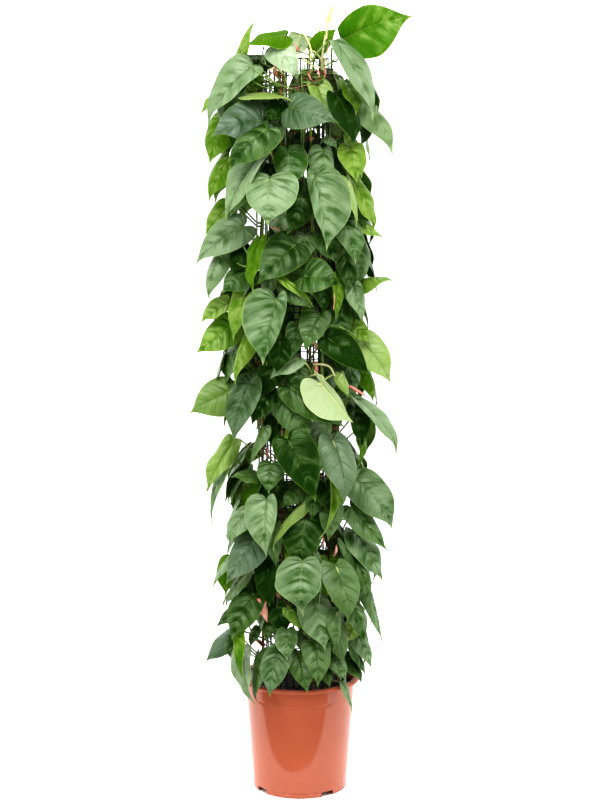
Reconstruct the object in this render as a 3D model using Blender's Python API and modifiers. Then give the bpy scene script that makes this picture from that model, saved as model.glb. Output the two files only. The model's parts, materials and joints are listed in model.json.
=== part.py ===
"""A potted heartleaf philodendron, trained up a tall plastic mesh column.

Run with blender --background --python part.py, or from Blender's text editor.
Metres, +Z up. The pot stands on z = 0 with its axis on the Z axis, and the front is -Y.
"""

import math

import bmesh
import bpy
from mathutils import Vector

for scene_object in list(bpy.data.objects):
    bpy.data.objects.remove(scene_object, do_unlink=True)

CM = 0.01
MM = 0.001
UP = Vector((0, 0, 1))
GAP = 0.3 * MM  # left between pieces that touch

# Pot: the height of a standard nursery pot of 24 cm, with a rolled lip and a foot skirt.
RIM_RADIUS = 12.0 * CM
POT_HEIGHT = 22.8 * CM
LIP_HEIGHT = 9 * MM
LIP_ROUND = 2 * MM
NECK_RADIUS = 10.95 * CM  # the wall just under the lip
STEP_BELOW_TOP = 3.6 * CM  # a faint ring where the stacked pots stop
STEP_DEPTH = 0.7 * MM
BASE_RADIUS = 9.3 * CM
BASE_ROUND = 1.5 * MM
WALL = 1.8 * MM
SKIRT_HEIGHT = 9 * MM
SKIRT_WIDTH = 4 * MM
FLOOR = 2 * MM
NOTCH_WIDTH = 22 * MM
NOTCH_COUNT = 4
FIRST_NOTCH_TURN = 36  # degrees from the front towards +X
DRAIN_RADIUS = 6 * MM
DRAIN_RING_RADIUS = 5.6 * CM
DRAIN_COUNT = 6

# Soil
SOIL_TOP = 21.0 * CM

# Column: a tube of plastic mesh, planted in the soil, and standing a little left of centre.
COLUMN_X = -0.6 * CM
COLUMN_RADIUS = 6.2 * CM
COLUMN_TOP = 144.0 * CM
COLUMN_DEPTH = 9 * CM
COLUMN_SIDES = 12
COLUMN_ROWS = 11
COLUMN_WIRE = 2.2 * MM
SLOT_MARGIN = 0.6 * MM

# Stems: (name, turn in degrees from the front towards +X, height of the top)
STEM_RADIUS = 3.3 * MM
STEM_FOOT_RADIUS = 8.4 * CM  # where each one is rooted, from the column's axis
STEM_DEPTH = 3 * CM
STEM_CLEARANCE = 1.2 * MM  # between the column's wire and a stem
STEM_SWAY = 2.5  # degrees to each side
STEMS = [
    ("stem_front_left", -27, 143.5 * CM),
    ("stem_front_right", 23, 145.0 * CM),
    ("stem_right", 80, 146.0 * CM),
    ("stem_back_right", 142, 142.0 * CM),
    ("stem_back_left", 205, 143.0 * CM),
    ("stem_left", 270, 144.5 * CM),
]

# Leaves
STALK_RADIUS = 1.5 * MM
BLADE_THICKNESS = 1.2 * MM
STALK_STEP = 6 * MM  # the straight start of a leaf stalk, square to its stem
STALK_RISE = 4.0 * CM  # how far below its blade a stalk leaves the stem
LOWEST_STALK = 23.5 * CM

# Half of a heart-shaped blade of length 1 from the notch at its stalk to the tip: (x, y).
HALF_BLADE = [(0.11, -0.12), (0.31, -0.14), (0.45, 0.03), (0.46, 0.26), (0.34, 0.52), (0.15, 0.78)]
HALF_BLADE_WIDTH = 0.465
INNER_RING = 0.55

# Each leaf, in centimetres and degrees: where its stalk meets the blade, its tip, the blade's
# width, the turn and the tilt of its upper face, and how far the blade bows (of its length).
# A turn of 0 faces the front, 90 faces +X and 180 faces the back. A tilt of 90 faces up.
LEAVES = [
    # top
    ((8.4, -1.5, 147.9), (21.0, -3.0, 152.2), 10.0, -5, 10, 0.06),
    ((6.4, -6.3, 147.3), (13.9, -10.5, 132.2), 8.0, 62, 0, 0.10),
    ((-8.7, -6.0, 143.0), (-18.1, -7.0, 131.2), 8.0, -35, 15, 0.10),
    ((-1.9, -10.5, 134.9), (7.1, -14.5, 132.4), 7.6, 0, 25, 0.08),
    ((-7.2, -8.6, 132.5), (-16.7, -12.5, 129.6), 8.0, -10, 20, 0.06),
    ((7.0, -8.2, 136.8), (10.2, -10.5, 127.6), 7.0, 40, 10, 0.08),
    ((10.3, -3.5, 137.2), (17.9, -6.5, 126.1), 7.0, 45, 20, 0.08),
    ((-6.2, -9.6, 126.8), (-13.9, -12.5, 113.8), 7.2, -45, 15, 0.10),
    # upper middle
    ((-5.6, -14.0, 122.0), (-6.0, -18.0, 113.2), 10.0, -5, 15, 0.08),
    ((2.9, -12.0, 122.2), (4.9, -16.0, 108.4), 8.4, 20, 15, 0.08),
    ((8.2, -9.0, 113.6), (10.6, -12.5, 105.8), 6.6, 35, 15, 0.08),
    ((-10.8, -3.5, 112.2), (-20.2, -5.5, 105.4), 7.6, -15, 25, 0.08),
    ((-0.9, -10.6, 109.3), (-8.0, -13.6, 102.0), 8.0, -5, 20, 0.06),
    ((0.8, -13.0, 103.6), (7.7, -16.5, 102.2), 7.2, 5, 40, 0.08),
    ((11.0, -3.5, 101.5), (18.1, -5.5, 102.3), 6.0, 30, 60, 0.08),
    ((-13.2, -1.5, 93.2), (-20.2, -3.5, 87.9), 6.4, -10, 15, 0.06),
    ((-4.2, -13.4, 98.0), (-6.9, -17.5, 87.2), 8.0, -12, 15, 0.08),
    ((11.4, -4.0, 90.4), (17.6, -5.5, 82.2), 7.0, 15, 25, 0.10),
    ((5.4, -9.8, 91.6), (14.2, -12.0, 84.4), 7.0, 15, 15, 0.08),
    # lower middle
    ((-13.2, -1.5, 80.2), (-21.6, -2.5, 76.0), 8.2, -5, 15, 0.05),
    ((-9.8, -7.6, 82.6), (-12.9, -11.5, 71.8), 7.0, -30, 10, 0.08),
    ((3.9, -13.0, 82.6), (8.7, -16.0, 75.4), 8.4, 172, 5, 0.06),
    ((-3.0, -12.6, 72.4), (2.4, -16.5, 61.4), 8.0, 0, 15, 0.08),
    ((6.3, -11.0, 71.8), (8.6, -15.0, 60.4), 7.4, 20, 15, 0.08),
    ((10.6, -5.2, 79.0), (19.1, -8.5, 68.0), 6.0, 60, 30, 0.08),
    ((-12.6, -4.0, 70.4), (-18.2, -7.0, 61.0), 5.4, -20, 10, 0.10),
    ((-6.4, -11.8, 60.6), (-6.4, -15.5, 50.2), 6.6, -18, 15, 0.08),
    ((-8.8, -7.2, 51.6), (-14.4, -11.0, 43.6), 7.2, -20, 20, 0.08),
    ((10.9, -5.0, 63.2), (18.4, -7.0, 53.8), 7.8, 15, 20, 0.08),
    # foot
    ((0.3, -14.6, 47.8), (0.3, -18.8, 38.9), 9.2, 0, 15, 0.10),
    ((7.0, -11.2, 47.2), (9.4, -14.8, 37.2), 7.2, 20, 15, 0.08),
    ((10.6, -3.6, 52.6), (16.3, -6.8, 43.4), 6.6, 40, 15, 0.08),
    ((-9.2, -8.4, 40.9), (-13.2, -11.6, 32.8), 7.0, -22, 20, 0.10),
    ((3.2, -11.6, 33.2), (3.4, -15.2, 25.2), 5.8, 10, 20, 0.08),
    ((-4.8, -11.8, 31.4), (-5.9, -15.0, 23.4), 5.8, -10, 20, 0.08),
    ((-11.6, -6.4, 28.6), (-9.6, -13.4, 20.4), 4.8, -60, 10, 0.08),
    ((-13.0, -0.6, 31.0), (-18.8, -2.5, 25.8), 4.6, -15, 25, 0.06),
    ((10.6, -4.0, 32.4), (14.0, -7.0, 25.6), 4.6, 40, 15, 0.08),
]

# The leaves round the back, in centimetres and degrees: the turn and height of the stalk's end,
# how far from the column's axis the tip reaches, how far it drops, the width and a twist.
BACK_STALK_REACH = 11.0
BACK_LEAVES = [
    (158, 141.0, 18.5, 8.5, 8.4, 8),
    (214, 136.0, 19.0, 9.0, 8.0, -12),
    (108, 125.0, 15.2, 9.5, 7.6, 6),
    (184, 121.0, 19.5, 9.0, 8.6, 4),
    (246, 124.0, 18.5, 8.0, 7.8, -8),
    (138, 106.0, 19.5, 9.5, 8.2, 10),
    (212, 101.0, 18.5, 10.0, 8.4, -6),
    (176, 84.0, 19.4, 9.0, 8.8, 0),
    (112, 78.0, 15.2, 9.0, 7.8, 12),
    (236, 68.0, 18.0, 9.5, 7.6, -8),
    (150, 61.0, 18.5, 9.5, 8.0, 5),
    (196, 45.0, 18.0, 9.0, 7.8, -4),
    (128, 38.0, 17.0, 8.0, 6.6, 8),
]
BACK_TILT = 30
BACK_BOW = 0.08

DARK_GREEN = (0.055, 0.120, 0.030)
GREY_GREEN = (0.085, 0.165, 0.075)
BRIGHT_GREEN = (0.120, 0.210, 0.040)
DARK_LEAVES = [4, 5, 6, 13, 14, 19, 21, 23, 24, 28, 31, 33, 34, 36, 39, 42, 45, 48, 51]
BRIGHT_LEAVES = [1, 15, 16, 18, 20, 22, 26, 37, 41, 44, 47, 50]

parts = bpy.data.collections.new("potted_philodendron")
cutters = bpy.data.collections.new("cutters")
for collection in (parts, cutters):
    bpy.context.scene.collection.children.link(collection)


def material(name, colour, roughness):
    """A plain surface of one colour."""
    made = bpy.data.materials.new(name)
    made.use_nodes = True
    shader = made.node_tree.nodes["Principled BSDF"]
    shader.inputs["Base Color"].default_value = (*colour, 1)
    shader.inputs["Roughness"].default_value = roughness
    made.diffuse_color = (*colour, 1)
    return made


def add_object(name, data, collection, surface=None):
    made = bpy.data.objects.new(name, data)
    collection.objects.link(made)
    if surface:
        data.materials.append(surface)
    if collection is cutters:
        made.hide_render = True
        made.display_type = "WIRE"
    return made


def turned(name, profile, steps, surface):
    """A solid of turning, from a profile of (radius, height) that is closed or ends on the axis."""
    mesh = bpy.data.meshes.new(name)
    edges = [(i, i + 1) for i in range(len(profile) - 1)]
    mesh.from_pydata([(radius, 0, height) for radius, height in profile], edges, [])
    made = add_object(name, mesh, parts, surface)
    screw = made.modifiers.new("Turn", "SCREW")
    screw.steps = steps
    screw.render_steps = steps
    screw.use_merge_vertices = True
    screw.merge_threshold = 0.01 * MM
    screw.use_smooth_shade = True
    return made


def cut(solid, cutter):
    boolean = solid.modifiers.new("Cut " + cutter.name, "BOOLEAN")
    boolean.operation = "DIFFERENCE"
    boolean.solver = "EXACT"
    boolean.object = cutter


def outward(turn):
    """The level direction at this turn from the front (-Y) towards +X."""
    angle = math.radians(turn)
    return Vector((math.sin(angle), -math.cos(angle), 0))


def cylinders(name, centres, radius, bottom, top, sides):
    """One mesh of upright cylinders."""
    mesh = bpy.data.meshes.new(name)
    bm = bmesh.new()
    for centre in centres:
        made = bmesh.ops.create_cone(
            bm, cap_ends=True, segments=sides, radius1=radius, radius2=radius, depth=top - bottom
        )
        middle = Vector((centre.x, centre.y, (top + bottom) / 2))
        bmesh.ops.translate(bm, verts=made["verts"], vec=middle)
    bm.to_mesh(mesh)
    bm.free()
    return add_object(name, mesh, cutters)


# --- Pot ---------------------------------------------------------------------------------------
POT_SIDES = 40
floor_top = SKIRT_HEIGHT + FLOOR
lip_bottom = POT_HEIGHT - LIP_HEIGHT
step_height = POT_HEIGHT - STEP_BELOW_TOP


def wall_radius(height):
    """The outer radius of the pot's tapered wall."""
    share = height / lip_bottom
    return BASE_RADIUS + (NECK_RADIUS - BASE_RADIUS) * share


pot_profile = [
    (0, floor_top),
    (wall_radius(floor_top) - WALL, floor_top),
    (wall_radius(step_height) - STEP_DEPTH - WALL, step_height),
    (NECK_RADIUS - WALL, lip_bottom),
    (NECK_RADIUS - WALL, POT_HEIGHT - MM),
    (NECK_RADIUS - WALL + MM, POT_HEIGHT),
    (RIM_RADIUS - LIP_ROUND, POT_HEIGHT),
    (RIM_RADIUS - 0.3 * LIP_ROUND, POT_HEIGHT - 0.3 * LIP_ROUND),
    (RIM_RADIUS, POT_HEIGHT - LIP_ROUND),
    (RIM_RADIUS, lip_bottom + LIP_ROUND),
    (RIM_RADIUS - LIP_ROUND, lip_bottom),
    (NECK_RADIUS, lip_bottom),
    (wall_radius(step_height), step_height + MM),
    (wall_radius(step_height) - STEP_DEPTH, step_height),
    (wall_radius(BASE_ROUND), BASE_ROUND),
    (BASE_RADIUS - BASE_ROUND, 0),
    (BASE_RADIUS - SKIRT_WIDTH, 0),
    (BASE_RADIUS - SKIRT_WIDTH, SKIRT_HEIGHT),
    (0, SKIRT_HEIGHT),
]
pot_plastic = material("terracotta_plastic", (0.76, 0.22, 0.11), 0.3)
pot = turned("pot", pot_profile, POT_SIDES, pot_plastic)

notches = bpy.data.meshes.new("notches")
bm = bmesh.new()
for index in range(NOTCH_COUNT):
    direction = outward(FIRST_NOTCH_TURN + index * 360 / NOTCH_COUNT)
    box = bmesh.ops.create_cube(bm, size=1)["verts"]
    bmesh.ops.scale(bm, verts=box, vec=(NOTCH_WIDTH, 4 * SKIRT_WIDTH, 2 * SKIRT_HEIGHT))
    turn_box = direction.to_track_quat("Y", "Z").to_matrix()
    bmesh.ops.rotate(bm, verts=box, matrix=turn_box)
    bmesh.ops.translate(bm, verts=box, vec=direction * (BASE_RADIUS - SKIRT_WIDTH / 2) - UP * MM)
bm.to_mesh(notches)
bm.free()
cut(pot, add_object("notches", notches, cutters))

drain_places = [
    outward(index * 360 / DRAIN_COUNT) * DRAIN_RING_RADIUS for index in range(DRAIN_COUNT)
]
drains = cylinders(
    "drain_holes", drain_places, DRAIN_RADIUS, SKIRT_HEIGHT - FLOOR, floor_top + FLOOR, 12
)
cut(pot, drains)

# --- Soil ----------------------------------------------------------------------------------------
# The flats of the column's polygon lie further in than its corners, so the slot is wider there.
column_flat_radius = COLUMN_RADIUS * math.cos(math.pi / COLUMN_SIDES)
slot_inner = column_flat_radius - COLUMN_WIRE / 2 - SLOT_MARGIN
slot_outer = (COLUMN_RADIUS + COLUMN_WIRE / 2 + SLOT_MARGIN) / math.cos(math.pi / POT_SIDES)
slot_bottom = SOIL_TOP - COLUMN_DEPTH - COLUMN_WIRE / 2 - GAP


step_inner_radius = wall_radius(step_height) - STEP_DEPTH - WALL
top_share = (SOIL_TOP - step_height) / (lip_bottom - step_height)
top_inner_radius = step_inner_radius + (NECK_RADIUS - WALL - step_inner_radius) * top_share
soil_profile = [
    (0, SOIL_TOP),
    (top_inner_radius - GAP, SOIL_TOP),
    (step_inner_radius - GAP, step_height),
    (wall_radius(floor_top) - WALL - GAP, floor_top + GAP),
    (0, floor_top + GAP),
]
soil = turned("soil", soil_profile, POT_SIDES, material("potting_soil", (0.02, 0.015, 0.01), 0.95))

slot_profile = [
    (slot_inner, slot_bottom),
    (slot_inner, SOIL_TOP + CM),
    (slot_outer, SOIL_TOP + CM),
    (slot_outer, slot_bottom),
    (slot_inner, slot_bottom),
]
slot = turned("column_slot", slot_profile, POT_SIDES, None)
parts.objects.unlink(slot)
cutters.objects.link(slot)
slot.hide_render = True
slot.display_type = "WIRE"
slot.location.x = COLUMN_X
cut(soil, slot)

# --- Column ----------------------------------------------------------------------------------------
column_bottom = SOIL_TOP - COLUMN_DEPTH
column_mesh = bpy.data.meshes.new("mesh_column")
bm = bmesh.new()
rows = []
for row in range(COLUMN_ROWS + 1):
    height = column_bottom + (COLUMN_TOP - column_bottom) * row / COLUMN_ROWS
    ring = [
        bm.verts.new(outward(side * 360 / COLUMN_SIDES) * COLUMN_RADIUS + UP * height)
        for side in range(COLUMN_SIDES)
    ]
    rows.append(ring)
for lower, upper in zip(rows, rows[1:]):
    for side in range(COLUMN_SIDES):
        after = (side + 1) % COLUMN_SIDES
        bm.faces.new((lower[side], lower[after], upper[after], upper[side]))
bm.to_mesh(column_mesh)
bm.free()
column_plastic = material("dark_green_plastic", (0.012, 0.030, 0.014), 0.45)
column = add_object("mesh_column", column_mesh, parts, column_plastic)
column.location.x = COLUMN_X
wires = column.modifiers.new("Wires", "WIREFRAME")
wires.thickness = COLUMN_WIRE
wires.use_even_offset = False
wires.use_boundary = True

# --- Stems -----------------------------------------------------------------------------------------
# Each stem rises from the soil near the pot's wall, leans in to the column and climbs it.
STEM_POINTS = 15
stem_climb_radius = COLUMN_RADIUS + COLUMN_WIRE / 2 + STEM_CLEARANCE + STEM_RADIUS
STEM_LEAN_HEIGHT = 7 * CM
column_axis = Vector((COLUMN_X, 0, 0))
stem_brown = material("stem_bark", (0.20, 0.22, 0.07), 0.6)


def stem_points(turn, top):
    """The middle line of a stem, from its rooted end to its top."""
    bottom = SOIL_TOP - STEM_DEPTH
    lean_top = SOIL_TOP + STEM_LEAN_HEIGHT
    heights = [bottom, SOIL_TOP, SOIL_TOP + STEM_LEAN_HEIGHT / 2]
    climbs = STEM_POINTS - len(heights)
    heights += [lean_top + (top - lean_top) * step / (climbs - 1) for step in range(climbs)]
    points = []
    for height in heights:
        lean = min(1, max(0, (height - SOIL_TOP) / STEM_LEAN_HEIGHT))
        radius = STEM_FOOT_RADIUS + (stem_climb_radius - STEM_FOOT_RADIUS) * lean
        sway = STEM_SWAY * lean * math.sin(height * 9 + turn)
        points.append(column_axis + outward(turn + sway) * radius + UP * height)
    return points


def wire(name, points, radius, collection, surface, resolution=2):
    """A round rod along straight runs between these points."""
    curve = bpy.data.curves.new(name, "CURVE")
    curve.dimensions = "3D"
    curve.bevel_depth = radius
    curve.bevel_resolution = resolution
    curve.use_fill_caps = True
    spline = curve.splines.new("POLY")
    spline.points.add(len(points) - 1)
    for place, point in zip(spline.points, points):
        place.co = (*point, 1)
    return add_object(name, curve, collection, surface)


for name, turn, top in STEMS:
    wire(name, stem_points(turn, top), STEM_RADIUS, parts, stem_brown)

sockets = cylinders(
    "stem_sockets",
    [stem_points(turn, top)[0] for _, turn, top in STEMS],
    (STEM_RADIUS + GAP) / math.cos(math.pi / 12),
    SOIL_TOP - STEM_DEPTH - GAP,
    SOIL_TOP + CM,
    12,
)
cut(soil, sockets)


# --- Leaves ------------------------------------------------------------------------------------------
def nearest_stem(point):
    """The name, turn and top of the stem on the same side of the column."""
    side = (point - column_axis) * Vector((1, 1, 0))
    return max(STEMS, key=lambda stem: side.normalized().dot(outward(stem[1])))


def on_stem(stem, height):
    """The point of the stem's middle line at this height."""
    _, turn, top = stem
    points = stem_points(turn, top)
    for lower, upper in zip(points, points[1:]):
        if lower.z <= height <= upper.z:
            return lower.lerp(upper, (height - lower.z) / (upper.z - lower.z))
    return points[-1]


def bezier(start, first, second, end, steps):
    """Points along a curve with these two handles."""
    points = []
    for step in range(steps + 1):
        t = step / steps
        s = 1 - t
        points.append(s**3 * start + 3 * s * s * t * first + 3 * s * t * t * second + t**3 * end)
    return points


def blade_point(base, along, across, face, width_scale, bow, x, y):
    """A point of the blade from its place (x, y) on a flat blade of length 1."""
    length = along.length
    lift = 4 * bow * y * (1 - y) - 0.35 * x * x
    return base + along * y + (across * (x * width_scale) + face * lift) * length


def leaf(name, base, tip, width, turn, tilt, bow, surface):
    """One leaf: a thin bowed blade joined to the stalk that carries it."""
    along = tip - base
    facing = outward(turn) * math.cos(math.radians(tilt)) + UP * math.sin(math.radians(tilt))
    direction = along.normalized()
    face = (facing - direction * facing.dot(direction)).normalized()
    across = direction.cross(face)
    width_scale = width / along.length / (2 * HALF_BLADE_WIDTH)
    shape = (base, along, across, face, width_scale, bow)

    outline = HALF_BLADE + [(0, 1)] + [(-x, y) for x, y in reversed(HALF_BLADE)]
    mesh = bpy.data.meshes.new(name)
    bm = bmesh.new()
    middle = bm.verts.new(blade_point(*shape, 0, 0))
    rings = []
    for size in (INNER_RING, 1):
        rings.append([bm.verts.new(blade_point(*shape, x * size, y * size)) for x, y in outline])
    inner, outer = rings
    for index in range(len(outline) - 1):
        bm.faces.new((middle, inner[index], inner[index + 1]))
        bm.faces.new((inner[index], outer[index], outer[index + 1], inner[index + 1]))
    bm.to_mesh(mesh)
    bm.free()
    made = add_object(name, mesh, parts, surface)
    thicken = made.modifiers.new("Thickness", "SOLIDIFY")
    thicken.thickness = BLADE_THICKNESS
    thicken.offset = 0

    stem = nearest_stem(base)
    height = max(LOWEST_STALK, min(base.z - STALK_RISE, stem[2] - CM))
    root = on_stem(stem, height)
    away = ((root - column_axis) * Vector((1, 1, 0))).normalized()
    start = root + away * (STEM_RADIUS + GAP)
    bend = start + away * STALK_STEP
    reach = (base - bend).length
    first = bend + (away * 0.6 + UP * 0.5) * reach * 0.45
    second = base - (direction * 0.5 + face * 0.35) * reach * 0.35
    stalk_points = [start] + bezier(bend, first, second, base, 3)
    stalk_points.append(blade_point(*shape, 0, 0.05))
    curve = wire(name + "_stalk_line", stalk_points, STALK_RADIUS, cutters, None, 1)
    bpy.context.view_layer.update()
    evaluated = curve.evaluated_get(bpy.context.evaluated_depsgraph_get())
    stalk_mesh = bpy.data.meshes.new_from_object(evaluated)
    bm = bmesh.new()
    bm.from_mesh(stalk_mesh)
    bmesh.ops.remove_doubles(bm, verts=bm.verts, dist=0.01 * MM)
    bm.to_mesh(stalk_mesh)
    bm.free()
    stalk = add_object(name + "_stalk", stalk_mesh, cutters)
    stalk.matrix_world = curve.matrix_world
    bpy.data.objects.remove(curve, do_unlink=True)
    union = made.modifiers.new("Stalk", "BOOLEAN")
    union.operation = "UNION"
    union.solver = "EXACT"
    union.object = stalk
    return made


def back_leaf(turn, height, tip_reach, drop, width, twist):
    """A row of LEAVES for a leaf that points straight away from the column."""
    base = column_axis / CM + outward(turn) * BACK_STALK_REACH + UP * height
    tip = column_axis / CM + outward(turn + twist / 2) * tip_reach + UP * (height - drop)
    return (base, tip, width, turn + twist, BACK_TILT, BACK_BOW)


rows = LEAVES + [back_leaf(*row) for row in BACK_LEAVES]
for number, (base, tip, width, turn, tilt, bow) in enumerate(rows, start=1):
    tone = GREY_GREEN
    if number in DARK_LEAVES:
        tone = DARK_GREEN
    elif number in BRIGHT_LEAVES:
        tone = BRIGHT_GREEN
    leaf_green = material(f"leaf_green_{number:02d}", tone, 0.4)
    base, tip = Vector(base) * CM, Vector(tip) * CM
    leaf(f"leaf_{number:02d}", base, tip, width * CM, turn, tilt, bow, leaf_green)
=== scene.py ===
"""A potted heartleaf philodendron on a tall mesh column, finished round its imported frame.

Metres, +Z up, with the front towards -Y. The leaf lists are in centimetres and degrees.
"""

import json
import math
import random

import bpy
import numpy as np
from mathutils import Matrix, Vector, noise
from mathutils.bvhtree import BVHTree


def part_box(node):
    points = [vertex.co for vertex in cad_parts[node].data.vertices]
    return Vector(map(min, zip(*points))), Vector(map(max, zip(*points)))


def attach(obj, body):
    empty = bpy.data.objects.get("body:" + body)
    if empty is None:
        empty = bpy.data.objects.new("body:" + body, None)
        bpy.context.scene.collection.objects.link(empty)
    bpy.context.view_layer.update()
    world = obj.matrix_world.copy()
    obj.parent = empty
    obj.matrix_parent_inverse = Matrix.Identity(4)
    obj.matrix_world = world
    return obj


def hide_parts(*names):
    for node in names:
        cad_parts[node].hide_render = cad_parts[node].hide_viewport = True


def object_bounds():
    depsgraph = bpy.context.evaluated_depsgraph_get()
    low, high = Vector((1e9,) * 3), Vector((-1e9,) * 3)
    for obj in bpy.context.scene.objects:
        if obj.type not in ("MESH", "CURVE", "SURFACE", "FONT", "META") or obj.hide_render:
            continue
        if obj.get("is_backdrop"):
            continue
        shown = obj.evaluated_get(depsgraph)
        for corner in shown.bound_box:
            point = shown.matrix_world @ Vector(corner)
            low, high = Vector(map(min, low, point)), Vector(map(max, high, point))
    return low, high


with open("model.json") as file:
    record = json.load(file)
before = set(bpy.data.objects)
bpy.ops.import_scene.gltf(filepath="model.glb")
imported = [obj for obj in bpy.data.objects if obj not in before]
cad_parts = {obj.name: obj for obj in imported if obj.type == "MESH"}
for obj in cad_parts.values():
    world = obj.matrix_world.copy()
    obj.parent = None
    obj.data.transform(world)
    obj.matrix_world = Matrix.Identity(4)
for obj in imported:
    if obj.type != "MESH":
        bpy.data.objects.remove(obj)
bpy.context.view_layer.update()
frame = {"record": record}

# --- Growing pot ---------------------------------------------------------------------------------
# A thin injection-moulded polypropylene pot in terracotta colour. It has a rolled rim, a faint
# stacking ring under it, and a foot skirt with four notches that let the drain holes breathe.
MM = 0.001
CM = 0.01
UP = Vector((0, 0, 1))
RIM_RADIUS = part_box("pot")[1].x
POT_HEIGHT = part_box("pot")[1].z
NECK_RADIUS = 109.5 * MM
BASE_RADIUS = 93 * MM
WALL = 1.8 * MM
LIP_HEIGHT = 9 * MM
STACKING_RING = 36 * MM  # below the top
SKIRT_HEIGHT = 9 * MM
SKIRT_WIDTH = 4 * MM
POT_FLOOR = 2 * MM
NOTCH_WIDTH = 28 * MM
NOTCH_TURNS = [36, 126, 216, 306]
NOTCH_HEIGHT = 9.5 * MM
DRAIN_TURNS = range(0, 360, 60)
DRAIN_RADIUS = 6 * MM
DRAIN_RING_RADIUS = 56 * MM
INNER_ROUNDING = 3 * MM
LIP_ROUNDING = 4.4 * MM
POT_SIDES = 144
DRAIN_SIDES = 24
# The colour is painted lighter towards the foot as painted light, and the finish is dusty by the
# floor and matt on the lip and inside.
PAINTED_LIGHT_BELOW = 16 * CM
DUSTY_BELOW = 3 * CM
MATT_FROM = POT_HEIGHT - 14 * MM
MATT_ABOVE = POT_HEIGHT - 10.5 * MM
GLOSS = 0.5
LIP_GLOSS = 0.15
INSIDE_GLOSS = 0.08


def outward(turn):
    """The level direction at this turn from the front (-Y) towards +X."""
    angle = math.radians(turn)
    return Vector((math.sin(angle), -math.cos(angle), 0))


def pot_wall(height):
    """The outer radius of the tapered wall."""
    return BASE_RADIUS + (NECK_RADIUS - BASE_RADIUS) * height / (POT_HEIGHT - LIP_HEIGHT)


def on_wall(*heights):
    """Profile points on the outside of the wall."""
    return [(pot_wall(height), height) for height in heights]


def bead(radius, height, size, start, end, steps):
    """Profile points round a bead, from one angle to another in degrees."""
    angles = [math.radians(start + (end - start) * step / steps) for step in range(steps + 1)]
    return [(radius + size * math.cos(a), height + size * math.sin(a)) for a in angles]


def mesh_of(name, points, faces):
    """A new mesh from points and faces."""
    mesh = bpy.data.meshes.new(name)
    mesh.from_pydata(points, [], faces)
    return mesh


def turned_mesh(name, profile, sides):
    """A mesh of turning from a profile of (radius, height) that starts and ends on the axis."""
    points, faces, rings = [], [], []
    for radius, height in profile:
        if radius == 0:
            rings.append([len(points)] * sides)
            points.append((0, 0, height))
            continue
        rings.append(list(range(len(points), len(points) + sides)))
        for side in range(sides):
            angle = 2 * math.pi * side / sides
            points.append((radius * math.cos(angle), radius * math.sin(angle), height))
    for ring, after in zip(rings, rings[1:]):
        for side in range(sides):
            following = (side + 1) % sides
            corners = [ring[side], after[side], after[following], ring[following]]
            faces.append(tuple(dict.fromkeys(corners)))
    return mesh_of(name, points, faces)


def add_object(name, mesh, *surfaces):
    """Puts a mesh in the scene with these materials."""
    made = bpy.data.objects.new(name, mesh)
    bpy.context.scene.collection.objects.link(made)
    for surface in surfaces:
        mesh.materials.append(surface)
    return made


def smooth(mesh, sharp_angle):
    """Smooth shading, with an edge wherever the faces turn by more than this angle."""
    mesh.shade_smooth()
    mesh.set_sharp_from_angle(angle=math.radians(sharp_angle))


def cut_away(made, cutter):
    """Cuts one mesh out of another and removes the cutter."""
    cut = made.modifiers.new("Cut", "BOOLEAN")
    cut.operation = "DIFFERENCE"
    cut.solver = "EXACT"
    cut.object = cutter
    bpy.context.view_layer.update()
    evaluated = made.evaluated_get(bpy.context.evaluated_depsgraph_get())
    mesh = bpy.data.meshes.new_from_object(evaluated)
    made.modifiers.clear()
    made.data = mesh
    bpy.data.objects.remove(cutter, do_unlink=True)


def surface_tree(name):
    """A new node material, its tree and its shader."""
    made = bpy.data.materials.new(name)
    made.use_nodes = True
    return made, made.node_tree, made.node_tree.nodes["Principled BSDF"]


def put(tree, kind, inputs=None, **settings):
    """Adds a node. Each input is a number, a colour or another node's socket."""
    made = tree.nodes.new(kind)
    for key, value in settings.items():
        setattr(made, key, value)
    for key, value in (inputs or {}).items():
        if isinstance(value, bpy.types.NodeSocket):
            tree.links.new(value, made.inputs[key])
        else:
            made.inputs[key].default_value = value
    return made


def own_place(tree):
    """Where a point of the surface is in its own object, in metres."""
    return put(tree, "ShaderNodeTexCoord").outputs["Object"]


def apart(tree, vector):
    """The three parts of a vector."""
    return put(tree, "ShaderNodeSeparateXYZ", {0: vector}).outputs


def sums(tree, operation, first, second=0.0, third=0.0):
    """The result of a Math node."""
    values = {0: first, 1: second, 2: third}
    return put(tree, "ShaderNodeMath", values, operation=operation).outputs[0]


def times(tree, first, second):
    """Two values multiplied."""
    return sums(tree, "MULTIPLY", first, second)


def blended(tree, share, first, second):
    """Two colours mixed by a share of the second."""
    made = put(tree, "ShaderNodeMix", {0: share, 6: first, 7: second}, data_type="RGBA")
    return made.outputs[2]


def ranged(tree, value, low, high, to_low=0.0, to_high=1.0):
    """A value moved smoothly from one range to another."""
    values = {0: value, 1: low, 2: high, 3: to_low, 4: to_high}
    return put(tree, "ShaderNodeMapRange", values, interpolation_type="SMOOTHSTEP").outputs[0]


def speckle(tree, place, scale, detail=2.0, roughness=0.5):
    """The value of a Noise texture, with a mean of about 0.5."""
    values = {"Vector": place, "Scale": scale, "Detail": detail, "Roughness": roughness}
    return put(tree, "ShaderNodeTexNoise", values).outputs[0]


def coat(tree, shader, colour, rough):
    """Gives the shader its colour and its roughness."""
    tree.links.new(colour, shader.inputs["Base Color"])
    tree.links.new(rough, shader.inputs["Roughness"])


def raise_by(tree, shader, height, distance, strength):
    """Bumps the shader by a height."""
    values = {"Height": height, "Distance": distance, "Strength": strength}
    bumped = put(tree, "ShaderNodeBump", values)
    tree.links.new(bumped.outputs[0], shader.inputs["Normal"])


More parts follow.
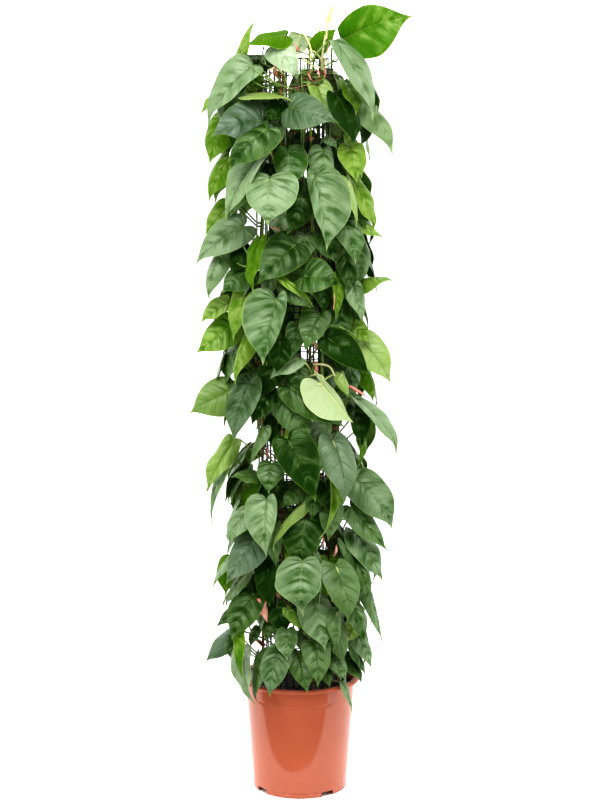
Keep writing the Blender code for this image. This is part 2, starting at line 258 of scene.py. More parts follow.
ring_height = POT_HEIGHT - STACKING_RING
inner_floor = SKIRT_HEIGHT + POT_FLOOR
lip_bottom = POT_HEIGHT - LIP_HEIGHT
bead_height = POT_HEIGHT - LIP_ROUNDING
pot_profile = [
    (0, inner_floor),
    (pot_wall(inner_floor) - WALL - INNER_ROUNDING, inner_floor),
    (pot_wall(inner_floor) - WALL - 0.3 * INNER_ROUNDING, inner_floor + 0.3 * INNER_ROUNDING),
    (pot_wall(inner_floor) - WALL, inner_floor + INNER_ROUNDING),
    (pot_wall(ring_height) - WALL - 0.7 * MM, ring_height),
    (NECK_RADIUS - WALL, lip_bottom),
    *bead(NECK_RADIUS - WALL + INNER_ROUNDING, bead_height, INNER_ROUNDING, 180, 100, 4),
    *bead(RIM_RADIUS - LIP_ROUNDING, bead_height, LIP_ROUNDING, 90, -60, 12),
    (RIM_RADIUS - 4.0 * MM, lip_bottom + 0.2 * MM),
    (NECK_RADIUS + 2 * MM, lip_bottom + 0.4 * MM),
    (NECK_RADIUS + 0.5 * MM, lip_bottom - 0.5 * MM),
    (NECK_RADIUS - 0.1 * MM, lip_bottom - 2 * MM),
    *on_wall(lip_bottom - 5 * MM, ring_height + 4 * MM),
    (pot_wall(ring_height) + 0.2 * MM, ring_height + 1.4 * MM),
    (pot_wall(ring_height), ring_height + 0.6 * MM),
    (pot_wall(ring_height) - 0.7 * MM, ring_height),
    *on_wall(ring_height - 3 * MM, ring_height - 9 * MM, 20 * MM, 12 * MM),
    (pot_wall(SKIRT_HEIGHT), SKIRT_HEIGHT + 0.6 * MM),
    (pot_wall(SKIRT_HEIGHT) - 0.4 * MM, SKIRT_HEIGHT),
    (pot_wall(SKIRT_HEIGHT) - 0.1 * MM, SKIRT_HEIGHT - 0.6 * MM),
    (pot_wall(0), 1.4 * MM),
    (BASE_RADIUS - 0.4 * MM, 0.4 * MM),
    (BASE_RADIUS - 1.4 * MM, 0),
    (BASE_RADIUS - SKIRT_WIDTH + 0.8 * MM, 0),
    (BASE_RADIUS - SKIRT_WIDTH, 0.8 * MM),
    (BASE_RADIUS - SKIRT_WIDTH, SKIRT_HEIGHT),
    (0, SKIRT_HEIGHT),
]

terracotta, tree, shader = surface_tree("terracotta_plastic")
place = own_place(tree)
height = apart(tree, place)[2]
cloud = speckle(tree, place, 22, 3)
colour = blended(tree, cloud, (0.298, 0.082, 0.041, 1), (0.324, 0.095, 0.049, 1))
# Painted light: the wall's colour is lightened towards the foot, as though more light falls on the
# lower wall.
painted_light_below = ranged(tree, height, PAINTED_LIGHT_BELOW, 0.0, 0.0, 0.6)
colour = blended(tree, painted_light_below, colour, (0.43, 0.125, 0.068, 1))
dust = ranged(tree, speckle(tree, place, 160, 4), 0.45, 0.7)
dust = times(tree, ranged(tree, height, DUSTY_BELOW, 0.0, 0.0, 0.22), dust)
colour = blended(tree, dust, colour, (0.62, 0.33, 0.22, 1))
splash = ranged(tree, speckle(tree, place, 420, 2), 0.72, 0.80, 0.0, 0.2)
colour = blended(tree, splash, colour, (0.36, 0.07, 0.03, 1))
# The inside is told from the outside by how deep a point lies behind the wall's outer face.
flat_place = put(tree, "ShaderNodeVectorMath", {0: place, 1: (1, 1, 0)}, operation="MULTIPLY")
reach = put(tree, "ShaderNodeVectorMath", {0: flat_place.outputs[0]}, operation="LENGTH").outputs[1]
slope = (NECK_RADIUS - BASE_RADIUS) / (POT_HEIGHT - LIP_HEIGHT)
wall_reach = sums(tree, "MULTIPLY_ADD", height, slope, BASE_RADIUS)
depth_inside = sums(tree, "SUBTRACT", wall_reach, reach)
inside_gloss = ranged(tree, depth_inside, 0.3 * WALL, 0.8 * WALL, GLOSS, INSIDE_GLOSS)
lip_gloss = ranged(tree, height, MATT_FROM, MATT_ABOVE, GLOSS, LIP_GLOSS)
gloss = sums(tree, "MINIMUM", inside_gloss, lip_gloss)
tree.links.new(gloss, shader.inputs["Specular IOR Level"])
polish = ranged(tree, cloud, 0.2, 0.8, 0.10, 0.13)
matt = ranged(tree, gloss, GLOSS, LIP_GLOSS, 0.10, 0.45)
coat(tree, shader, colour, sums(tree, "MAXIMUM", polish, matt))
shader.inputs["IOR"].default_value = 1.5
raise_by(tree, shader, speckle(tree, place, 240, 2), 0.02 * MM, 0.3)

pot = add_object("growing_pot", turned_mesh("growing_pot", pot_profile, POT_SIDES))
for turn in NOTCH_TURNS:
    side = outward(turn + 90) * NOTCH_WIDTH / 2
    near = outward(turn) * (BASE_RADIUS - 3 * SKIRT_WIDTH)
    far = outward(turn) * (BASE_RADIUS + 3 * SKIRT_WIDTH)
    low_corners = [near - side, near + side, far + side, far - side]
    corners = [c - UP * CM for c in low_corners] + [c + UP * NOTCH_HEIGHT for c in low_corners]
    box_faces = [(0, 1, 2, 3), (7, 6, 5, 4)]
    box_faces += [(i, 4 + i, 4 + (i + 1) % 4, (i + 1) % 4) for i in range(4)]
    cut_away(pot, add_object("notch", mesh_of("notch", corners, box_faces)))
drain_profile = [(0, 2 * CM), (DRAIN_RADIUS, 2 * CM), (DRAIN_RADIUS, 0), (0, 0)]
for turn in DRAIN_TURNS:
    drain = add_object("drain", turned_mesh("drain", drain_profile, DRAIN_SIDES))
    drain.location = outward(turn) * DRAIN_RING_RADIUS
    cut_away(pot, drain)
pot.data.materials.clear()
pot.data.materials.append(terracotta)
smooth(pot.data, 35)
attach(pot, "root")
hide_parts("pot")

# --- Potting soil --------------------------------------------------------------------------------
# Moist peat and bark fines, filled to 18 mm under the rim. The top is uneven, with crumbs and
# short bits of bark lying on it, and it sinks a little where it meets the pot.
SOIL_TOP = 21 * CM
SOIL_RADIUS = 106.6 * MM
SOIL_BOTTOM = 12 * MM
SOIL_BOTTOM_RADIUS = 92 * MM
SOIL_ROUGHNESS = 3 * MM
SOIL_SINK = 30 * MM  # by the wall, for each radius beyond nine tenths
SOIL_SIDES = 96
SOIL_RINGS = 26
CRUMBS = 420


def soil_height(x, y):
    """The height of the uneven top of the soil."""
    broad = noise.noise(Vector((x, y, 0)) * 26)
    fine = noise.noise(Vector((x, y, 5)) * 130)
    sink = max(0.0, math.hypot(x, y) / SOIL_RADIUS - 0.9) * SOIL_SINK
    return SOIL_TOP - MM + SOIL_ROUGHNESS * (0.55 * broad + 0.4 * fine) - sink


peat, tree, shader = surface_tree("moist_peat")
place = own_place(tree)
grain = speckle(tree, place, 380, 4, 0.7)
share = ranged(tree, grain, 0.35, 0.7)
colour = blended(tree, share, (0.006, 0.005, 0.004, 1), (0.05, 0.034, 0.02, 1))
red_bark = ranged(tree, speckle(tree, place, 140, 1), 0.64, 0.70)
colour = blended(tree, red_bark, colour, (0.13, 0.045, 0.02, 1))
coat(tree, shader, colour, ranged(tree, grain, 0.3, 0.7, 0.7, 0.95))
raise_by(tree, shader, speckle(tree, place, 900, 4, 0.7), 0.6 * MM, 0.8)

soil_points, soil_faces = [(0, 0, soil_height(0, 0))], []
for ring in range(1, SOIL_RINGS + 1):
    for side in range(SOIL_SIDES):
        spot = outward(side * 360 / SOIL_SIDES) * SOIL_RADIUS * ring / SOIL_RINGS
        soil_points.append((spot.x, spot.y, soil_height(spot.x, spot.y)))
for side in range(SOIL_SIDES):
    spot = outward(side * 360 / SOIL_SIDES) * SOIL_BOTTOM_RADIUS
    soil_points.append((spot.x, spot.y, SOIL_BOTTOM))
for side in range(SOIL_SIDES):
    after = (side + 1) % SOIL_SIDES
    soil_faces.append((0, 1 + side, 1 + after))
    for ring in range(SOIL_RINGS):
        first = 1 + ring * SOIL_SIDES
        second = first + SOIL_SIDES
        soil_faces.append((first + side, second + side, second + after, first + after))
soil_faces.append(tuple(reversed(range(1 + SOIL_RINGS * SOIL_SIDES, len(soil_points)))))

# Each crumb is a lumpy eight-sided grain, half sunk in the top.
crumb_shape = [(1, 0, 0), (0, 1, 0), (-1, 0, 0), (0, -1, 0), (0, 0, 1), (0, 0, -1)]
crumb_faces = [(0, 1, 4), (1, 2, 4), (2, 3, 4), (3, 0, 4)]
crumb_faces += [(1, 0, 5), (2, 1, 5), (3, 2, 5), (0, 3, 5)]
draw = random.Random(11)
for _ in range(CRUMBS):
    spot = outward(draw.uniform(0, 360)) * SOIL_RADIUS * 0.97 * math.sqrt(draw.random())
    middle = Vector((spot.x, spot.y, soil_height(spot.x, spot.y)))
    turn = outward(draw.uniform(0, 360))
    size = draw.uniform(1.0, 3.2) * MM
    stretch = draw.uniform(1.0, 2.6)
    first = len(soil_points)
    for along, across, up in crumb_shape:
        lump = turn * along * stretch + turn.cross(UP) * across + UP * up * 0.7
        soil_points.append(middle + lump * size * draw.uniform(0.75, 1.15))
    soil_faces += [tuple(first + corner for corner in face) for face in crumb_faces]
soil = add_object("potting_soil", mesh_of("potting_soil", soil_points, soil_faces), peat)
smooth(soil.data, 50)
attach(soil, "root")
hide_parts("soil")

# --- Mesh column ---------------------------------------------------------------------------------
# A tube of stiff dark green plastic mesh, open at the top and planted in the soil. Flat upright
# bars are welded to thinner rings, and the stems grow up its outside.
column_low, column_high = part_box("mesh_column")
COLUMN_AXIS = Vector(((column_low.x + column_high.x) / 2, 0, 0))
COLUMN_RADIUS = 6.1 * CM
COLUMN_TOP = column_high.z
COLUMN_BOTTOM = column_low.z
COLUMN_BARS = 28
BAR_WIDTH = 2.7 * MM
BAR_DEPTH = 1.7 * MM
RING_PITCH = 26 * MM
RING_HEIGHT = 2.0 * MM
RING_DEPTH = 1.5 * MM
COLUMN_SIDES = 84

dark_plastic, tree, shader = surface_tree("dark_green_plastic")
place = own_place(tree)
wear = speckle(tree, place, 60, 4)
colour = blended(tree, wear, (0.008, 0.020, 0.011, 1), (0.026, 0.050, 0.030, 1))
lime = ranged(tree, speckle(tree, place, 300, 3), 0.66, 0.76, 0.0, 0.4)
colour = blended(tree, lime, colour, (0.10, 0.12, 0.08, 1))
coat(tree, shader, colour, ranged(tree, wear, 0.3, 0.7, 0.32, 0.5))
raise_by(tree, shader, speckle(tree, place, 500, 2), 0.1 * MM, 0.6)


def section(width, depth):
    """The eight soft corners of a bar's section, as (along the width, out from the middle)."""
    soft = 0.3 * min(width, depth)
    w, d = width / 2, depth / 2
    return [
        (w, d - soft), (w - soft, d), (soft - w, d), (-w, d - soft),
        (-w, soft - d), (soft - w, -d), (w - soft, -d), (w, soft - d),
    ]  # fmt: skip


column_points, column_faces = [], []
for bar in range(COLUMN_BARS):
    out = outward((bar + 0.5) * 360 / COLUMN_BARS)
    across = UP.cross(out)
    first = len(column_points)
    for level in (COLUMN_BOTTOM, COLUMN_TOP):
        for wide, painted_shaded in section(BAR_WIDTH, BAR_DEPTH):
            spot = out * (COLUMN_RADIUS + painted_shaded) + across * wide + UP * level
            column_points.append(COLUMN_AXIS + spot)
    for side in range(8):
        after = (side + 1) % 8
        column_faces.append((first + side, first + after, first + 8 + after, first + 8 + side))
    column_faces.append(tuple(first + 7 - side for side in range(8)))
    column_faces.append(tuple(first + 8 + side for side in range(8)))
ring_count = int((COLUMN_TOP - COLUMN_BOTTOM) / RING_PITCH)
for ring in range(ring_count + 1):
    level = COLUMN_TOP - RING_HEIGHT / 2 - ring * RING_PITCH
    first = len(column_points)
    for side in range(COLUMN_SIDES):
        out = outward(side * 360 / COLUMN_SIDES)
        for high, painted_shaded in section(RING_HEIGHT, RING_DEPTH):
            column_points.append(COLUMN_AXIS + out * (COLUMN_RADIUS + painted_shaded) + UP * (level + high))
    for side in range(COLUMN_SIDES):
        here = first + side * 8
        after = first + (side + 1) % COLUMN_SIDES * 8
        for edge in range(8):
            beyond = (edge + 1) % 8
            column_faces.append((here + edge, here + beyond, after + beyond, after + edge))
column_mesh = mesh_of("lattice_column", column_points, column_faces)
column = add_object("lattice_column", column_mesh, dark_plastic)
smooth(column_mesh, 50)
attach(column, "root")
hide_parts("mesh_column")

# --- Climbing stems ------------------------------------------------------------------------------
# Six living stems are rooted near the pot's wall, lean in and climb the column. They thicken at
# each node, and are olive green with browner, older wood below.
STEM_RADIUS = 2.7 * MM
STEM_FOOT_RADIUS = 8.4 * CM
STEM_CLIMB_RADIUS = 6.76 * CM
STEM_DEPTH = 3 * CM
STEM_LEAN_HEIGHT = 7 * CM
STEM_SWAY = 2.5
SWAY_PITCH = 9
STEM_STEP = 0.9 * CM
STEM_TAPER = 0.25
TAPER_START = 90 * CM
STEM_SIDES = 12
NODE_PITCH = 5.6 * CM
NODE_SWELL = 0.75 * MM
NODE_LENGTH = 5 * MM
NODE_START = 2 * CM  # above the soil, where the pitches are counted from
STEMS = [
    ("stem_front_left", -27, 143.5 * CM),
    ("stem_front_right", 23, 145.0 * CM),
    ("stem_right", 80, 146.0 * CM),
    ("stem_back_right", 142, 142.0 * CM),
    ("stem_back_left", 205, 143.0 * CM),
    ("stem_left", 270, 144.5 * CM),
]

stem_skin, tree, shader = surface_tree("stem_skin")
place = own_place(tree)
height = apart(tree, place)[2]
blotch = speckle(tree, place, 70, 4)
green = blended(tree, blotch, (0.06, 0.12, 0.012, 1), (0.20, 0.25, 0.04, 1))
woody = sums(tree, "ADD", ranged(tree, height, 1.2, 0.2, 0.0, 0.55), blotch)
colour = blended(tree, ranged(tree, woody, 0.55, 0.9), green, (0.16, 0.085, 0.030, 1))
coat(tree, shader, colour, ranged(tree, blotch, 0.3, 0.7, 0.45, 0.65))
raise_by(tree, shader, speckle(tree, place, 420, 3), 0.3 * MM, 0.7)


def stem_point(turn, height):
    """The middle of the stem of this turn at this height."""
    lean = min(1, max(0, (height - SOIL_TOP) / STEM_LEAN_HEIGHT))
    radius = STEM_FOOT_RADIUS + (STEM_CLIMB_RADIUS - STEM_FOOT_RADIUS) * lean
    sway = STEM_SWAY * lean * math.sin(height * SWAY_PITCH + turn)
    return COLUMN_AXIS + outward(turn + sway) * radius + UP * height


def rod(path, radii, sides):
    """The points and faces of a closed round rod along a path."""
    path = np.array([tuple(point) for point in path])
    along = np.gradient(path, axis=0)
    along /= np.linalg.norm(along, axis=1)[:, None]
    side = np.cross(along[0], (0.31, 0.83, 0.46))
    points, faces = [], []
    for spot, axis, radius in zip(path, along, radii):
        side = side - axis * np.dot(side, axis)
        side /= np.linalg.norm(side)
        other = np.cross(axis, side)
        for corner in range(sides):
            angle = 2 * math.pi * corner / sides
            points.append(spot + radius * (math.cos(angle) * side + math.sin(angle) * other))
    for ring in range(len(path) - 1):
        for corner in range(sides):
            after = (corner + 1) % sides
            first, second = ring * sides, (ring + 1) * sides
            faces.append((first + corner, first + after, second + after, second + corner))
    faces.append(tuple(reversed(range(sides))))
    faces.append(tuple(range(len(points) - sides, len(points))))
    return np.array(points), faces


def node_heights(top):
    """Where the leaves leave a stem."""
    count = int((top - SOIL_TOP - NODE_START) / NODE_PITCH)
    return [SOIL_TOP + NODE_START + NODE_PITCH * number for number in range(1, count + 1)]


for name, turn, top in STEMS:
    levels = np.arange(SOIL_TOP - STEM_DEPTH, top, STEM_STEP)
    levels = np.append(levels, [top - 1.5 * MM, top])
    nodes = np.array(node_heights(top))
    path, radii = [], []
    for level in levels:
        swell = NODE_SWELL * math.exp(-((abs(nodes - level).min() / NODE_LENGTH) ** 2))
        taper = 1 - STEM_TAPER * max(0, (level - TAPER_START) / (top - TAPER_START))
        radii.append((STEM_RADIUS * taper + swell) * (0.5 if level == top else 1))
        path.append(stem_point(turn, level))
    mesh = mesh_of(name + "_vine", *rod(path, radii, STEM_SIDES))
    stem = add_object(name + "_vine", mesh, stem_skin)
    smooth(mesh, 60)
    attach(stem, "root")
    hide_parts(name)

# --- Leaf skins ----------------------------------------------------------------------------------
# The upper skin is dark, waxy and satin, with sunk side veins, a paler midrib and a thin light
# margin. The lower skin is pale and matt. Thin blades let some of the light behind them through.


def leaf_skin(name, painted_shaded, painted_lit, vein, through, gloss, clearness, underside=False):
    """A skin that reads each blade's own grid (vein number, across, along) and nature."""
    made, tree, shader = surface_tree(name)
    grid = put(tree, "ShaderNodeAttribute", attribute_name="blade_grid").outputs["Vector"]
    vein_number, across, along = apart(tree, grid)
    nature = put(tree, "ShaderNodeAttribute", attribute_name="leaf_nature").outputs["Vector"]
    light, yellow, seed = apart(tree, nature)
    place = own_place(tree)
    cloud = speckle(tree, place, 30, 3)
    fine = speckle(tree, place, 260, 3, 0.6)

    # The tone is each blade's painted lightness, which is painted light and sheen, with random
    # clouds, painted shade in the soft folds and along the side veins, and painted sheen on the
    # ribs between them.
    tone_and_painted_light = sums(tree, "ADD", light, ranged(tree, cloud, 0.3, 0.7, -0.16, 0.16))
    fold_place = {0: vein_number, 1: times(tree, across, 0.45), 2: times(tree, seed, 91.0)}
    fold_place = put(tree, "ShaderNodeCombineXYZ", fold_place).outputs[0]
    folds = speckle(tree, fold_place, 1.7, 2, 0.6)
    fading = ranged(tree, across, 0.25, 1.0, 1.0, 0.35)
    # Painted shade: the colour darkens in the creases of the folds and lightens as a painted sheen
    # between them.
    painted_crease_shade = times(tree, ranged(tree, folds, 0.3, 0.68, -0.42, 0.26), fading)
    tone_and_painted_light = sums(tree, "ADD", tone_and_painted_light, painted_crease_shade)
    between = sums(tree, "COSINE", times(tree, vein_number, 2 * math.pi))
    ribbed = ranged(tree, seed, 0.0, 1.0, 0.3, 1.1)
    ribbed = times(tree, ribbed, ranged(tree, cloud, 0.35, 0.65))
    ribs_and_painted_vein_shade = times(tree, between, ribbed)
    # Painted shade along the sunk side veins and painted sheen on the ribs between; the same ribs
    # also raise the relief below.
    tone_and_painted_light = sums(tree, "MULTIPLY_ADD", ribs_and_painted_vein_shade, -0.09, tone_and_painted_light)
    # Painted light and shade: the blade's colour goes from a painted shaded copy to a painted lit
    # copy by this tone.
    colour = blended(tree, ranged(tree, tone_and_painted_light, 0.0, 1.0), painted_shaded, painted_lit)

    # Yellower blades have the yellow-green of young blades together with a painted glow of light
    # through them, others have a painted cool grey sheen, and the lightest are painted whitish, a
    # painted sheen.
    # Painted glow: the yellow-green also stands for light shining through the blade.
    young_glow = times(tree, yellow, ranged(tree, cloud, 0.35, 0.65, 0.5, 1.0))
    colour = blended(tree, young_glow, colour, (0.19, 0.29, 0.006, 1))
    # Painted sheen: a cool grey-green laid over the lighter parts of the blade.
    painted_cool_sheen = ranged(tree, yellow, 0.0, -1.0)
    painted_cool_sheen = times(tree, painted_cool_sheen, ranged(tree, tone_and_painted_light, 0.0, 1.0, 0.3, 1.0))
    colour = blended(tree, painted_cool_sheen, colour, (0.080, 0.125, 0.085, 1))
    # Painted sheen: the lightest blades are painted whitish.
    pale_painted_light = ranged(tree, light, 0.95, 1.6)
    pale_painted_light = times(tree, pale_painted_light, ranged(tree, cloud, 0.35, 0.6, 0.4, 1.0))
    colour = blended(tree, pale_painted_light, colour, (0.56, 0.62, 0.47, 1))

    # Side veins and the midrib thin out towards the margin and the tip, which have a light edge.
    to_vein = sums(tree, "PINGPONG", vein_number, 0.5)
    line = ranged(tree, to_vein, 0.01, 0.07, 1.0, 0.0)
    line = times(tree, line, ranged(tree, across, 0.96, 0.5))
    rib = ranged(tree, across, 0.008, 0.04, 1.0, 0.0)
    rib = times(tree, rib, ranged(tree, along, 0.8, 0.05, 0.15, 1.0))
    rib_share = times(tree, rib, 0.8 if underside else 0.45)
    drawn = sums(tree, "MULTIPLY_ADD", line, 0.25 if underside else 0.07, rib_share)
    colour = blended(tree, drawn, colour, vein)
    edge = ranged(tree, across, 0.965, 0.99)
    edge = sums(tree, "MAXIMUM", edge, ranged(tree, along, 0.86, 0.97))
    colour = blended(tree, times(tree, edge, 0.7), colour, vein)
    colour = blended(tree, ranged(tree, fine, 0.4, 0.7, 0.0, 0.14), colour, painted_shaded)
    coat(tree, shader, colour, ranged(tree, fine, 0.3, 0.7, gloss, gloss + 0.12))
    shader.inputs["IOR"].default_value = 1.4 if underside else 1.5
    sheen = ranged(tree, tone_and_painted_light, 0.15, 1.0, 0.08, 0.35 if underside else 0.8)
    tree.links.new(sheen, shader.inputs["Specular IOR Level"])

    # The relief: fine ribs and grain, the folds, and veins sunk above and raised below.
    finer = sums(tree, "COSINE", times(tree, vein_number, 2 * math.pi * 3))
    height = sums(tree, "MULTIPLY_ADD", finer, -0.15, times(tree, fine, 0.45))
    height = sums(tree, "MULTIPLY_ADD", ribs_and_painted_vein_shade, -0.5, height)
    height = sums(tree, "MULTIPLY_ADD", folds, 2.6, height)
    height = sums(tree, "MULTIPLY_ADD", speckle(tree, place, 85, 2), 0.9, height)
    sunk = times(tree, sums(tree, "MAXIMUM", line, rib), 0.9 if underside else -0.9)
    raise_by(tree, shader, sums(tree, "ADD", height, sunk), 0.7 * MM, 1.0)

    glow = put(tree, "ShaderNodeBsdfTranslucent", {"Color": through})
    mixed = {0: clearness, 1: shader.outputs[0], 2: glow.outputs[0]}
    mixed = put(tree, "ShaderNodeMixShader", mixed).outputs[0]
    tree.links.new(mixed, tree.nodes["Material Output"].inputs["Surface"])
    return made


# For each slot: the painted shaded and painted lit copies of the blade's colour (the grey slot's
# lit colour is a painted silver sheen), then the veins', the light that comes through, the
# roughness and how much light comes through.
UPPER_FINISH = {
    "leaf_dark": [
        (0.008, 0.036, 0.001, 1), (0.072, 0.150, 0.024, 1),
        (0.15, 0.26, 0.04, 1), (0.13, 0.29, 0.001, 1), 0.38, 0.20,
    ],
    "leaf_grey": [
        (0.022, 0.072, 0.004, 1), (0.175, 0.262, 0.120, 1),
        (0.28, 0.40, 0.14, 1), (0.18, 0.36, 0.002, 1), 0.42, 0.20,
    ],
    "leaf_bright": [
        (0.040, 0.140, 0.002, 1), (0.225, 0.335, 0.050, 1),
        (0.34, 0.46, 0.10, 1), (0.22, 0.46, 0.002, 1), 0.40, 0.30,
    ],
}  # fmt: skip
UNDER_FINISH = {
    "leaf_dark": [
        (0.040, 0.12, 0.006, 1), (0.14, 0.25, 0.04, 1),
        (0.30, 0.40, 0.14, 1), (0.13, 0.30, 0.002, 1), 0.55, 0.24,
    ],
    "leaf_grey": [
        (0.10, 0.20, 0.03, 1), (0.26, 0.39, 0.11, 1),
        (0.40, 0.52, 0.22, 1), (0.18, 0.36, 0.004, 1), 0.55, 0.24,
    ],
    "leaf_bright": [
        (0.17, 0.28, 0.06, 1), (0.37, 0.45, 0.24, 1),
        (0.64, 0.70, 0.32, 1), (0.26, 0.48, 0.01, 1), 0.55, 0.26,
    ],
}  # fmt: skip
UPPER_SKINS, UNDER_SKINS = {}, {}
for slot, finish in UPPER_FINISH.items():
    UPPER_SKINS[slot] = leaf_skin(slot.replace("leaf", "leaf_upper"), *finish)
for slot, finish in UNDER_FINISH.items():
    UNDER_SKINS[slot] = leaf_skin(slot.replace("leaf", "leaf_under"), *finish, underside=True)

stalk_skin, tree, shader = surface_tree("leaf_stalk_skin")
place = own_place(tree)
blotch = speckle(tree, place, 60, 3)
share = ranged(tree, blotch, 0.3, 0.7)
colour = blended(tree, share, (0.030, 0.075, 0.010, 1), (0.13, 0.21, 0.035, 1))
nature = put(tree, "ShaderNodeAttribute", attribute_name="leaf_nature").outputs["Vector"]
# Painted light: the stalk is paler where its blade is painted light.
pale_painted_light = ranged(tree, apart(tree, nature)[0], 0.75, 1.15)
colour = blended(tree, pale_painted_light, colour, (0.50, 0.56, 0.20, 1))
flushed = ranged(tree, speckle(tree, place, 28, 2), 0.60, 0.72, 0.0, 0.5)
colour = blended(tree, flushed, colour, (0.26, 0.14, 0.06, 1))
coat(tree, shader, colour, ranged(tree, blotch, 0.3, 0.7, 0.36, 0.5))
raise_by(tree, shader, speckle(tree, place, 600, 2), 0.15 * MM, 0.6)

# --- Leaf blades ---------------------------------------------------------------------------------
# A heart-shaped blade 0.45 mm thick, drawn out to a drip tip. Each row of its mesh follows a side
# vein from the midrib to the margin, and the skin bulges between the veins.
BLADE_THICKNESS = 0.45 * MM
HALF_OUTLINE = [
    (0.0, 0.0), (0.030, -0.048), (0.095, -0.098), (0.190, -0.125), (0.290, -0.112), (0.385, -0.058),
    (0.448, 0.035), (0.470, 0.150), (0.462, 0.280), (0.428, 0.410), (0.366, 0.535), (0.283, 0.650),
    (0.188, 0.750), (0.105, 0.830), (0.052, 0.890), (0.022, 0.945), (0.0, 1.0),
]  # fmt: skip
HALF_WIDTH = 0.47
BLADE_ROWS = 30
VEINS = 7.5  # side veins on each half
FIRST_VEIN = 1.2  # the vein number at the notch
FAN_LENGTH = 0.25  # rows whose margin is below this share of the length all start at the notch
VEIN_DIP = 0.11  # how far a side vein curves, as a share of its length
ACROSS = [0.0, 0.07, 0.28, 0.52, 0.78, 1.0]


def smooth_path(corners, steps):
    """Points of a smooth path through these corners, with this many steps between two."""
    corners = np.array(corners)
    padded = np.vstack([2 * corners[0] - corners[1], corners, 2 * corners[-1] - corners[-2]])
    path = []
    for index in range(1, len(padded) - 2):
        a, b, c, d = padded[index - 1 : index + 3]
        for t in np.linspace(0, 1, steps, endpoint=False):
            cubic = (2 * a - 5 * b + 4 * c - d) * t**2 + (3 * b - a - 3 * c + d) * t**3
            path.append(0.5 * (2 * b + (c - a) * t + cubic))
    return np.array(path + [corners[-1]])


def evenly_spaced(path, count):
    """This many points along a flat path, at equal steps."""
    length = np.concatenate([[0], np.cumsum(np.linalg.norm(np.diff(path, axis=0), axis=1))])
    wanted = np.linspace(0, length[-1], count)
    return np.stack([np.interp(wanted, length, path[:, axis]) for axis in (0, 1)], 1)


def flat_blade():
    """The flat grid of a blade of length 1.

    It gives the places, vein numbers, shares across, faces, and the rim's and midrib's points.
    """
    margin = evenly_spaced(smooth_path(HALF_OUTLINE, 12), BLADE_ROWS + 1)
    places, veins, shares = [(0.0, 0.0)], [FIRST_VEIN], [0.0]
    midrib, ids = {}, {}
    last = BLADE_ROWS
    for row in range(1, last):
        end = margin[row]
        start_y = max(0.0, (end[1] - FAN_LENGTH) / (1 - FAN_LENGTH)) ** 1.2
        vein = VEINS * row / last
        start = np.array((0, start_y))
        if start_y == 0:
            midrib[row] = 0
        else:
            midrib[row] = len(places)
            places.append(tuple(start))
            veins.append(vein)
            shares.append(0.0)
        dip = np.array((0, -VEIN_DIP * np.linalg.norm(end - start)))
        control = (start + end) / 2 + dip
        for half in (1, -1):
            ids[row, 0, half] = midrib[row]
            for column, share in enumerate(ACROSS[1:], start=1):
                rest = 1 - share
                spot = rest * rest * start + 2 * rest * share * control + share * share * end
                ids[row, column, half] = len(places)
                places.append((half * spot[0], spot[1]))
                veins.append(vein)
                shares.append(share)
    tip = len(places)
    places.append((0.0, 1.0))
    veins.append(VEINS)
    shares.append(0.0)
    for half in (1, -1):
        for column in range(len(ACROSS)):
            ids[last, column, half] = tip
    faces = []
    for half in (1, -1):
        for row in range(1, last):
            for column in range(len(ACROSS) - 1):
                corners = [
                    ids[row, column, half],
                    ids[row, column + 1, half],
                    ids[row + 1, column + 1, half],
                    ids[row + 1, column, half],
                ]
                corners = list(dict.fromkeys(corners))
                if len(corners) > 2:
                    faces.append(tuple(corners if half == 1 else reversed(corners)))
    edge = {}
    for half in (1, -1):
        edge[half] = [ids[1, column, half] for column in range(1, len(ACROSS))]
        edge[half] += [ids[row, len(ACROSS) - 1, half] for row in range(2, last)]
    rim = [0] + edge[1] + [tip] + edge[-1][::-1]
    spine = list(dict.fromkeys([0] + [midrib[row] for row in range(1, last)] + [tip]))
    return np.array(places), np.array(veins), np.array(shares), faces, rim, spine


PLACES, VEIN_NUMBERS, SHARES, BLADE_FACES, RIM, SPINE = flat_blade()
X, Y = PLACES[:, 0], PLACES[:, 1]
# A closed blade has the upper points, then the lower ones; its faces are the upper skin (0), the
# lower skin (1) and the edge.
LOWER = len(PLACES)
UNDER_FACES = [tuple(LOWER + corner for corner in reversed(face)) for face in BLADE_FACES]
EDGE_FACES = [
    (here, LOWER + here, LOWER + after, after) for here, after in zip(RIM, RIM[1:] + RIM[:1])
]
CLOSED_FACES = BLADE_FACES + UNDER_FACES + EDGE_FACES
CLOSED_SKINS = [0] * len(BLADE_FACES) + [1] * len(UNDER_FACES) + [0] * len(EDGE_FACES)
# How each blade differs from the next: the arch across, the keel, the quilting between veins, the
# wavy margin, and so on. The draws are made in this order.
SPREADS = {
    "camber": (0.2, 1.0), "fold": (0.0, 0.42), "quilt": (0.004, 0.014), "wave": (0.006, 0.028),
    "wave_pitch": (1.6, 2.6), "wave_start": (0, 6.3), "twist": (-0.35, 0.35), "curl": (-0.1, 0.4),
    "sweep": (-0.18, 0.18), "lobe": (0.8, 1.35), "lopside": (-0.12, 0.12), "pinch": (-0.05, 0.12),
    "full": (-0.1, 0.35),
}  # fmt: skip


